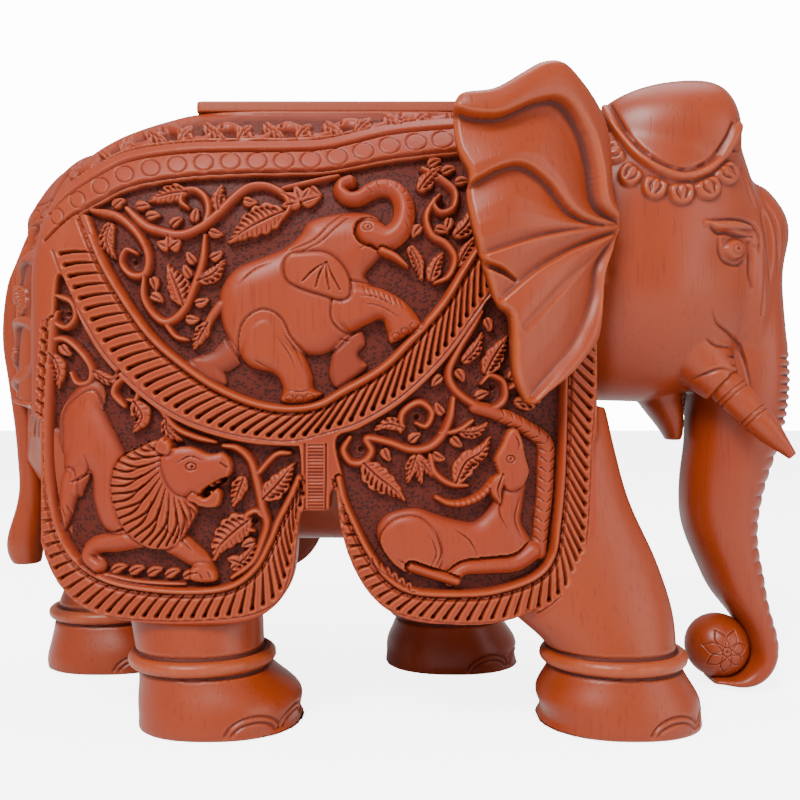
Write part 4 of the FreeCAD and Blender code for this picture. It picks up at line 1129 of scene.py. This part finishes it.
head = mergedCopy("head_skin", ["head_block"])
shape = bmesh.new()
shape.from_mesh(head.data)
for side in (-1, 1):
    made = bmesh.ops.create_uvsphere(shape, u_segments=48, v_segments=32, radius=1.0)
    for vert in made["verts"]:
        x, y, z = vert.co
        x = headSizes["capFront"] * x ** (2 / headSizes["capPower"]) if x > 0 else headSizes["capBack"] * x
        centre = Vector((headSizes["cap"][0], headSizes["cap"][1] * side, headSizes["cap"][2]))
        vert.co = (centre + Vector((x, y * headSizes["capWide"], z * headSizes["capHigh"]))) * mm
plug = mergedCopy("plug", ["ear_dowels"])  # fills the ear dowels' bores flush with the cheek
bareHead = BVHTree.FromObject(head, bpy.context.evaluated_depsgraph_get())
plugPoints = readPoints(plug.data)
middleOf = plugPoints[:, 0].mean()
upper = plugPoints[:, 2] >= headSizes["dowelSplit"]
for row in (~upper, upper):
    level = plugPoints[row, 2].mean()
    hits = [bareHead.ray_cast(Vector((middleOf + dx, -60, level + dz)) * mm, Vector((0, 1, 0)))[0]
            for dx, dz in ((3, 0), (0, 3), (0, -3))]
    reach = np.mean([-hit.y / mm for hit in hits if hit is not None])
    plugPoints[row, 1] = np.clip(plugPoints[row, 1], -reach, reach)
writePoints(plug.data, plugPoints)
shape.from_mesh(plug.data)
dropPiece(plug)
shape.to_mesh(head.data)
shape.free()
remesh(head, headSizes["voxel"])
points, edges = readPoints(head.data), readEdges(head.data)
start = relax(points, edges, 8)
calm = relax(start, edges, 110)
overLip = ease((points[:, 2] - calmSizes["lip"]) / 12)[:, None]
front = ease((points[:, 0] - calmSizes["front"]) / 6)[:, None] * overLip
dome = ease((points[:, 2] - calmSizes["dome"]) / 8)[:, None] * 0.9
fromSheath = np.hypot(points[:, 0] - calmSizes["sheath"][0], points[:, 2] - calmSizes["sheath"][1])
sheath = np.exp(-(fromSheath / calmSizes["sheathReach"]) ** 2)[:, None] * 0.8
blend = np.clip(np.maximum(np.maximum(front * 0.9, sheath), dome), 0, 1)
points = start * (1 - blend) + calm * blend
# a valley between the two domes
points[:, 2] -= (headSizes["valley"] * np.exp(-(points[:, 1] / 5.5) ** 2)
                 * ease((points[:, 2] - 137) / 10)
                 * ease((points[:, 0] - 52) / 8))
writePoints(head.data, points)
normals = readNormals(head.data)
wide = broadNormals(head.data, edges, 10)
X, Z = toCard(points)
share = ease((sight(points, normals) - 0.14) / 0.3)
height = np.where(points[:, 2] > headSizes["drawn"], face.sample(face.height, X, Z) * share, 0)
# cuts across the front of the trunk, deep by the tusks and faint below
phase = np.where(points[:, 2] > headSizes["wrinkleTop"], points[:, 2] / headSizes["serration"],
                 points[:, 2] / headSizes["wrinkle"])
bite = np.abs(np.sin(phase * math.pi)) ** 0.6
deep = np.interp(points[:, 2], [8, 14, 58, 63, 66, 84, 87], [0, 0.35, 0.45, 0.8, 1.1, 1.0, 0])
height = height - deep * (1 - bite) * ease((wide[:, 0] - 0.35) / 0.4) * (points[:, 0] > 80)
writePoints(head.data, points + wide * height[:, None])
markHollows(head, 1.0)
centres = faceCentres(head.data)
label = np.where(centres[:, 2] < headSizes["trunk"], 2, np.where(centres[:, 1] < 0, 0, 1))
headPieces = splitPiece(head, ["head_right", "head_left", "trunk"], label)

# ears: folds fan out from the root and the top lip is turned over
print("ears")
earSizes = {"spacing": 0.3, "thick": 4.0, "rim": 1.2}
source = mergedCopy("source_ear", ["ear_right"])
earPoints = readPoints(source.data)
earBins = np.arange(13, 52, 1.5)
earDepth = np.array([np.abs(earPoints[np.abs(earPoints[:, 0] - x) < 1.5][:, 1]).max() for x in earBins])
dropPiece(source)
earOutline = [(13.4, 137), (13.8, 139.6), (15.8, 141.4), (22.6, 142.4), (28.8, 145.8), (33, 148),
              (37.2, 148.2),
              (40.6, 145.3), (45.2, 138.6), (47.5, 132.4), (48.2, 126.2), (48.4, 118.9), (50.1, 111.8),
              (48.4, 106.4),
              (46.6, 100.6), (46, 91.4), (45.2, 86.5), (42.2, 82.1), (39.4, 78.8), (34.5, 74.9),
              (31.4, 72.4),
              (29.4, 74.4), (27.2, 79.9), (26.4, 91.4), (23.7, 94.5), (21.1, 100.6), (18, 111),
              (16.5, 118.9),
              (16.9, 123.5), (14.3, 129.3)]
folds = [[(11, 136.8), (13.8, 137), (18, 136), (23.7, 136.1), (31.4, 139.2), (37.2, 139.2), (41.8, 132.8),
          (44, 125.5),
          (45.5, 116.3), (49.7, 112.1)],
         [(14, 119.6), (17.3, 121.3), (23.7, 124.6), (28.8, 125.1), (34.1, 121.3), (39.4, 114.7),
          (44.4, 112.3), (49.7, 112)],
         [(17, 104.4), (21.5, 105.9), (31.4, 109), (41.8, 111), (49.6, 111.7)],
         [(20.5, 92.6), (23.7, 95.3), (31.4, 101.7), (39.4, 106.4), (48.6, 110.1)]]
innerRim = [(49.2, 110), (46.6, 106), (44.9, 102.3), (44, 95.3), (40.2, 86.1), (35.2, 79.9), (31, 74.6),
            (29.6, 72)]
leafCard = Card(8, 56, 66, 154, 0.15)
leafCard.facet([(11, 137)] + earOutline[1:13], folds[0], (0.5, 1.3, 1.8, 2.0, 1.7))
leafCard.facet(folds[0], folds[1], (-1.8, -1.3, -0.4, 0.5, 1.2, 1.1))
leafCard.facet(folds[1], folds[2], (-1.7, -0.9, 0.1, 0.7, 0.6, -0.7))
leafCard.facet(folds[2], folds[3], (1.1, 0.8, 0.0, -1.1))
leafCard.facet(folds[3], innerRim, (0.4, 1.0, 0.8, 0.3, -0.9),
               loop=folds[3] + innerRim[1:] + [(27, 70), (22, 80)])
leafCard.facet(innerRim, earOutline[12:21], (-1.0, 0.5, 1.4, 1.4, 0.4),
               loop=innerRim + earOutline[20:11:-1] + [(51, 111)])
leafCard.height = leafCard.soften(leafCard.height, 0.7)
leafCard.cut([(19.6, 103.4), (23.8, 101.9), (27.2, 99.8)], 1.9, 2.0, (1, 1, 0.5))
leafCard.cut([(47, 108.4), (38, 99.5), (29, 89.5)], 2.4, 0.4, (0.4, 1, 1))
leafCard.roundRim(earOutline, earSizes["rim"], 1.1)


def inEar(x, depth, z):
    return np.abs(depth) < np.interp(x, earBins, earDepth)


def makeEar(name):
    # a fine grid on the card, cut to the outline, thrown onto the bowed leaf and carved, then
    # given its back
    spacing = earSizes["spacing"]
    edge = smooth(earOutline, closed=True, step=0.3)
    low, high = edge.min(0) - spacing, edge.max(0) + spacing
    columns, rows = (np.ceil((high - low) / spacing)).astype(int)
    shape = bmesh.new()
    bmesh.ops.create_grid(shape, x_segments=int(columns), y_segments=int(rows), size=0.5)
    number = shape.verts.layers.int.new("number")
    places = low + (np.array([vert.co[:2] for vert in shape.verts]) + 0.5) * (high - low)
    for k, vert in enumerate(shape.verts):
        vert[number] = k
    inside = isInside(edge, places[:, 0], places[:, 1])
    bmesh.ops.delete(shape, geom=[face for face in shape.faces
                                  if sum(inside[vert[number]] for vert in face.verts) < 3], context="FACES")
    kept = np.array([vert[number] for vert in shape.verts])
    rim = np.array([vert.is_boundary for vert in shape.verts])
    places = places[kept]
    best, onEdge = np.full(rim.sum(), 1e9), places[rim]
    for p, q in zip(edge, np.roll(edge, -1, axis=0)):
        t = np.clip(((places[rim] - p) @ (q - p)) / max((q - p) @ (q - p), 1e-12), 0, 1)
        on = p + t[:, None] * (q - p)
        gap = np.hypot(*(places[rim] - on).T)
        closer = gap < best
        best[closer], onEdge[closer] = gap[closer], on[closer]
    places[rim] = onEdge
    spots = throw(places[:, 0], places[:, 1], inEar, 50, 20)
    mesh = bpy.data.meshes.new(name)
    shape.verts.index_update()
    for k, vert in enumerate(shape.verts):
        vert[number] = k
    shape.to_mesh(mesh)
    writePoints(mesh, spots)
    normals = broadNormals(mesh, readEdges(mesh), 12)
    height = leafCard.sample(leafCard.height, places[:, 0], places[:, 1])
    made = bmesh.ops.extrude_face_region(shape, geom=shape.faces[:], use_keep_orig=True)
    fresh = {item for item in made["geom"] if isinstance(item, bmesh.types.BMVert)}
    for vert in shape.verts:
        k = vert[number]
        lift = -earSizes["thick"] if vert in fresh else height[k]
        vert.co = Vector(spots[k] + normals[k] * lift) * mm
    bmesh.ops.recalc_face_normals(shape, faces=shape.faces)
    shape.verts.layers.int.remove(number)
    shape.to_mesh(mesh)
    shape.free()
    return addPiece(name, mesh)


ear = makeEar("ear_skin_right")
markHollows(ear, 1.0)
earLeft = mirrorPiece(ear, "ear_skin_left")

# small pieces straight from the CAD
print("small pieces")


def plainPiece(name, nodes, voxel, times):
    piece = remesh(mergedCopy(name, nodes), voxel)
    writePoints(piece.data, relax(readPoints(piece.data), readEdges(piece.data), times))
    return piece


tuskSizes = {"root": (78.5, 15.5, 79.5), "heading": (0.60, 0.30, -0.74), "rings": (5.4, 6.6, 12.6, 13.8),
             "swell": 0.5}


def makeTusk(name, nodeName, side):
    piece = plainPiece(name, [nodeName], 0.18, 10)
    points, normals = readPoints(piece.data), readNormals(piece.data)
    heading = np.array(tuskSizes["heading"]) * (1, side, 1)
    heading = heading / np.linalg.norm(heading)
    along = (points - np.array(tuskSizes["root"]) * (1, side, 1)) @ heading
    height = tuskSizes["swell"] * ease(along / 4) * ease((27 - along) / 12)
    for ring in tuskSizes["rings"]:
        height = height - 0.3 * np.clip(1 - ((along - ring) / 0.32) ** 2, 0, 1)
    writePoints(piece.data, points + normals * height[:, None])
    markHollows(piece, 0.7)
    return piece


tuskRight = makeTusk("tusk_skin_right", "tusk_right", -1)
tuskLeft = makeTusk("tusk_skin_left", "tusk_left", 1)

# the ball, with a flower cut in each side
ball = plainPiece("flower_ball", ["trunk_ball"], 0.18, 8)
ballSizes = {"x": 84.0, "z": 10.2, "radius": 8.2, "petals": 7, "turn": 12.0}
points, normals = readPoints(ball.data), readNormals(ball.data)
flower = Card(-10, 10, -10, 10, 0.08)
flower.ring(0, 0, 1.2, 1.2, 0.35, 0.35)
flower.hole(0, 0, 0.45, 0.4)
for k in range(ballSizes["petals"]):
    turn = math.radians(ballSizes["turn"] + 360 * k / ballSizes["petals"])
    ahead = np.array([math.cos(turn), math.sin(turn)])
    side = np.array([-ahead[1], ahead[0]])
    for hand in (-1, 1):
        flower.cut([ahead * 1.3, ahead * 3.6 + side * 1.45 * hand, ahead * 6.4], 0.42, 0.38, (0.7, 1, 0.8))
off = (points[:, 0] - ballSizes["x"], points[:, 2] - ballSizes["z"])
reach = np.hypot(*off)
spread = ballSizes["radius"] * np.arcsin(np.clip(reach / ballSizes["radius"], 0, 1)) / np.maximum(reach,
                                                                                                  1e-6)
height = flower.sample(flower.height, off[0] * spread, off[1] * spread) * (np.abs(points[:, 1]) > 1.5)
writePoints(ball.data, points + normals * height[:, None])
markHollows(ball, 0.7)
tail = plainPiece("tail_rope", ["tail"], 0.32, 6)
board = plainPiece("back_board", ["back_plate"], 0.4, 2)
pegReach = 24.0  # the ear dowels stop under the cheek
pegs = mergedCopy("pegs", ["neck_dowel", "ear_dowels", "plate_dowels", "ball_pin"])
hidden = readPoints(pegs.data)
hidden[:, 1] = np.clip(hidden[:, 1], -pegReach, pegReach)
writePoints(pegs.data, hidden)
for piece in (tail, board, pegs):
    markHollows(piece, 1.0)

# wood
print("wood")


def node(tree, kind, **settings):
    made = tree.nodes.new(kind)
    for key, value in settings.items():
        setattr(made, key, value)
    return made


def woodShade():
    # the shared look as colour, roughness and height: grain, pores, hollows darkened with stain and painted
    # shade, raised edges lightened with wear and a painted highlight, and punched ground with painted shade
    # in its dots
    group = bpy.data.node_groups.new("carvedWood", "ShaderNodeTree")
    sockets = group.interface
    sockets.new_socket("Tone", in_out="INPUT", socket_type="NodeSocketColor")
    sockets.new_socket("Gloss", in_out="INPUT", socket_type="NodeSocketFloat")
    sockets.new_socket("Color", in_out="OUTPUT", socket_type="NodeSocketColor")
    sockets.new_socket("Roughness", in_out="OUTPUT", socket_type="NodeSocketFloat")
    sockets.new_socket("Height", in_out="OUTPUT", socket_type="NodeSocketFloat")
    link = group.links.new
    given = node(group, "NodeGroupInput")
    out = node(group, "NodeGroupOutput")
    place = node(group, "ShaderNodeTexCoord")
    fine = node(group, "ShaderNodeAttribute", attribute_name="fine")
    broad = node(group, "ShaderNodeAttribute", attribute_name="broad")
    depth = node(group, "ShaderNodeAttribute", attribute_name="depth")

    def maths(kind, a, b, clamp=True):
        made = node(group, "ShaderNodeMath", operation=kind, use_clamp=clamp)
        for k, value in enumerate((a, b)):
            if isinstance(value, (int, float)):
                made.inputs[k].default_value = value
            else:
                link(value, made.inputs[k])
        return made.outputs[0]

    def ramp(value, low, high, start=0.0, end=1.0):
        made = node(group, "ShaderNodeMapRange", clamp=True)
        link(value, made.inputs["Value"])
        for key, number in (("From Min", low), ("From Max", high), ("To Min", start), ("To Max", end)):
            made.inputs[key].default_value = number
        return made.outputs["Result"]

    def noise(scale, detail, stretch=(1, 1, 1)):
        lay = node(group, "ShaderNodeMapping")
        link(place.outputs["Object"], lay.inputs["Vector"])
        lay.inputs["Scale"].default_value = stretch
        made = node(group, "ShaderNodeTexNoise")
        link(lay.outputs["Vector"], made.inputs["Vector"])
        made.inputs["Scale"].default_value = scale
        made.inputs["Detail"].default_value = detail
        return made.outputs["Fac"]

    def mix(kind, share, a, b):
        made = node(group, "ShaderNodeMix", data_type="RGBA", blend_type=kind)
        if isinstance(share, (int, float)):
            made.inputs["Factor"].default_value = share
        else:
            link(share, made.inputs["Factor"])
        for socket, value in ((made.inputs["A"], a), (made.inputs["B"], b)):
            if isinstance(value, tuple):
                socket.default_value = value
            else:
                link(value, socket)
        return made.outputs["Result"]

    grain = noise(60, 4, (1, 1, 0.12))
    patches = noise(22, 2)
    pores = ramp(noise(1500, 2, (1, 1, 0.06)), 0.58, 0.70)
    streaks = mix("MIX", grain, (0.86, 0.80, 0.78, 1), (1.12, 1.16, 1.18, 1))
    shade = mix("MULTIPLY", 1.0, given.outputs["Tone"], streaks)
    shade = mix("MIX", ramp(patches, 0.35, 0.75, 0, 0.35), shade, (0.25, 0.042, 0.010, 1))
    shade = mix("MULTIPLY", maths("MULTIPLY", pores, 0.3), shade, (0.45, 0.32, 0.3, 1))
    # hollows and the carved-down ground are mixed towards near black: stain pooled in them and painted
    # shade
    hollow = maths("MAXIMUM", ramp(fine.outputs["Fac"], 0.54, 0.9, 0, 0.85),
                   ramp(broad.outputs["Fac"], 0.53, 0.9, 0, 0.95))
    stainAndPaintedShade = maths("MAXIMUM", hollow, ramp(depth.outputs["Fac"], 0.2, 0.9, 0, 0.85))
    shade = mix("MIX", stainAndPaintedShade, shade, (0.045, 0.0032, 0.0010, 1))
    # raised edges are mixed towards a lighter orange: wear and a painted highlight
    wearAndPaintedHighlight = ramp(fine.outputs["Fac"], 0.42, 0.1, 0, 0.5)
    shade = mix("MIX", wearAndPaintedHighlight, shade, (0.36, 0.070, 0.020, 1))
    dots = node(group, "ShaderNodeTexVoronoi", feature="F1")
    link(place.outputs["Object"], dots.inputs["Vector"])
    dots.inputs["Scale"].default_value = 1250
    punched = maths("MULTIPLY", ramp(dots.outputs["Distance"], 0.5, 0.24),
                    ramp(depth.outputs["Fac"], 0.68, 0.85))
    # the punched dots are mixed towards near black as painted shade in their holes
    shade = mix("MIX", maths("MULTIPLY", punched, 0.8), shade, (0.012, 0.002, 0.0015, 1))
    link(shade, out.inputs["Color"])
    rough = maths("ADD", given.outputs["Gloss"], maths("MULTIPLY", stainAndPaintedShade, 0.35))
    rough = maths("ADD", rough, ramp(grain, 0.3, 0.8, -0.04, 0.08), clamp=False)
    link(rough, out.inputs["Roughness"])
    height = maths("SUBTRACT", maths("MULTIPLY", grain, 0.12), maths("MULTIPLY", pores, 0.25), clamp=False)
    height = maths("SUBTRACT", height, maths("MULTIPLY", punched, 2.5, clamp=False), clamp=False)
    link(height, out.inputs["Height"])
    return group


shared = woodShade()


def wood(name, tone, gloss, shine=0.3):
    material = bpy.data.materials.new(name)
    material.use_nodes = True
    tree = material.node_tree
    surface = tree.nodes["Principled BSDF"]
    look = tree.nodes.new("ShaderNodeGroup")
    look.node_tree = shared
    look.inputs["Tone"].default_value = tone
    look.inputs["Gloss"].default_value = gloss
    bump = tree.nodes.new("ShaderNodeBump")
    bump.inputs["Strength"].default_value = 0.35
    bump.inputs["Distance"].default_value = 0.0002
    tree.links.new(look.outputs["Color"], surface.inputs["Base Color"])
    tree.links.new(look.outputs["Roughness"], surface.inputs["Roughness"])
    tree.links.new(look.outputs["Height"], bump.inputs["Height"])
    tree.links.new(bump.outputs["Normal"], surface.inputs["Normal"])
    surface.inputs["Specular IOR Level"].default_value = shine
    surface.inputs["Coat Weight"].default_value = 0.06
    surface.inputs["Coat Roughness"].default_value = 0.35
    return material


clothWood = wood("clothWood", (0.215, 0.023, 0.0050, 1), gloss=0.45, shine=0.22)
smoothWood = wood("smoothWood", (0.215, 0.025, 0.0036, 1), gloss=0.38)
boardWood = wood("boardWood", (0.235, 0.035, 0.010, 1), gloss=0.5)

pieces = (
    [(piece, clothWood, "carved_wood", ["body_block"]) for piece in bodyPieces[2:]]
    + [(piece, smoothWood, "carved_wood", ["body_block"]) for piece in bodyPieces[:2]]
    + [(piece, smoothWood, "head_wood", ["head_block"]) for piece in headPieces]
    + [(ear, smoothWood, "head_wood", ["ear_right"]), (earLeft, smoothWood, "head_wood", ["ear_left"]),
       (ball, smoothWood, "head_wood", ["trunk_ball"]), (tail, smoothWood, "head_wood", ["tail"]),
       (tuskRight, smoothWood, "peg_wood", ["tusk_right"]), (tuskLeft, smoothWood, "peg_wood",
                                                             ["tusk_left"]),
       (pegs, smoothWood, "peg_wood", ["neck_dowel", "ear_dowels", "plate_dowels", "ball_pin"]),
       (board, boardWood, "board_wood", ["back_plate"])])
for piece, material, slot, nodes in pieces:
    points = readPoints(piece.data)
    count = sum(len(polygon.vertices) - 2 for polygon in piece.data.polygons)
    print(piece.name, "lowest", round(float(points[:, 2].min()), 2), "triangles", count)
    points[:, 2] = np.maximum(points[:, 2], 0)  # nothing reaches below the floor
    writePoints(piece.data, points)
    piece.data.materials.clear()
    piece.data.materials.append(material)
    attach(piece, "root")
    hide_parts(*nodes)

# floor, light and camera
print("stage")
floorMesh = bpy.data.meshes.new("floor")
shape = bmesh.new()
bmesh.ops.create_grid(shape, x_segments=1, y_segments=1, size=4)
shape.to_mesh(floorMesh)
shape.free()
floor = bpy.data.objects.new("floor", floorMesh)
bpy.context.scene.collection.objects.link(floor)
paper = bpy.data.materials.new("paper")
paper.use_nodes = True
surface = paper.node_tree.nodes["Principled BSDF"]
surface.inputs["Base Color"].default_value = (0.93, 0.93, 0.93, 1)
surface.inputs["Roughness"].default_value = 0.9
glow = paper.node_tree.nodes.new("ShaderNodeLightPath")
lift = paper.node_tree.nodes.new("ShaderNodeMath")
lift.operation = "MULTIPLY"
lift.inputs[1].default_value = 5.0
paper.node_tree.links.new(glow.outputs["Is Camera Ray"], lift.inputs[0])
paper.node_tree.links.new(lift.outputs["Value"], surface.inputs["Emission Strength"])
surface.inputs["Emission Color"].default_value = (1, 1, 1, 1)
floorMesh.materials.append(paper)
floor.location.z = -0.0002

world = bpy.data.worlds.new("studio")
bpy.context.scene.world = world
world.use_nodes = True
sky = world.node_tree.nodes["Background"]
sky.inputs["Color"].default_value = (1, 1, 1, 1)
# the paper sweep behind looks white, while less light comes off it
seen = world.node_tree.nodes.new("ShaderNodeLightPath")
strength = world.node_tree.nodes.new("ShaderNodeMapRange")
strength.inputs["To Min"].default_value = 0.6
strength.inputs["To Max"].default_value = 14.0
world.node_tree.links.new(seen.outputs["Is Camera Ray"], strength.inputs["Value"])
world.node_tree.links.new(strength.outputs["Result"], sky.inputs["Strength"])


def lamp(name, place, size, power, target=(0, 0, 0.08)):
    light = bpy.data.lights.new(name, "AREA")
    light.size = size
    light.energy = power
    holder = bpy.data.objects.new(name, light)
    bpy.context.scene.collection.objects.link(holder)
    holder.location = place
    holder.rotation_euler = (Vector(target) - Vector(place)).to_track_quat("-Z", "Y").to_euler()


lamp("key", (-0.25, -0.55, 0.65), 0.3, 11.0)
lamp("fill", (0.6, -0.5, 0.25), 0.5, 2.5)
lamp("top", (0.1, 0.1, 0.8), 0.5, 3.5)

cameraSizes = {"lens": 42.3, "shift": 0.01875}
lens = bpy.data.cameras.new("camera")
lens.lens = cameraSizes["lens"]
lens.sensor_width = 36
lens.shift_y = cameraSizes["shift"]
lens.clip_start = 0.01
camera = bpy.data.objects.new("camera", lens)
bpy.context.scene.collection.objects.link(camera)
camera.location = (eye["x"] * mm, -eye["distance"] * mm, eye["z"] * mm)
camera.rotation_euler = (math.pi / 2, 0, 0)
bpy.context.scene.camera = camera
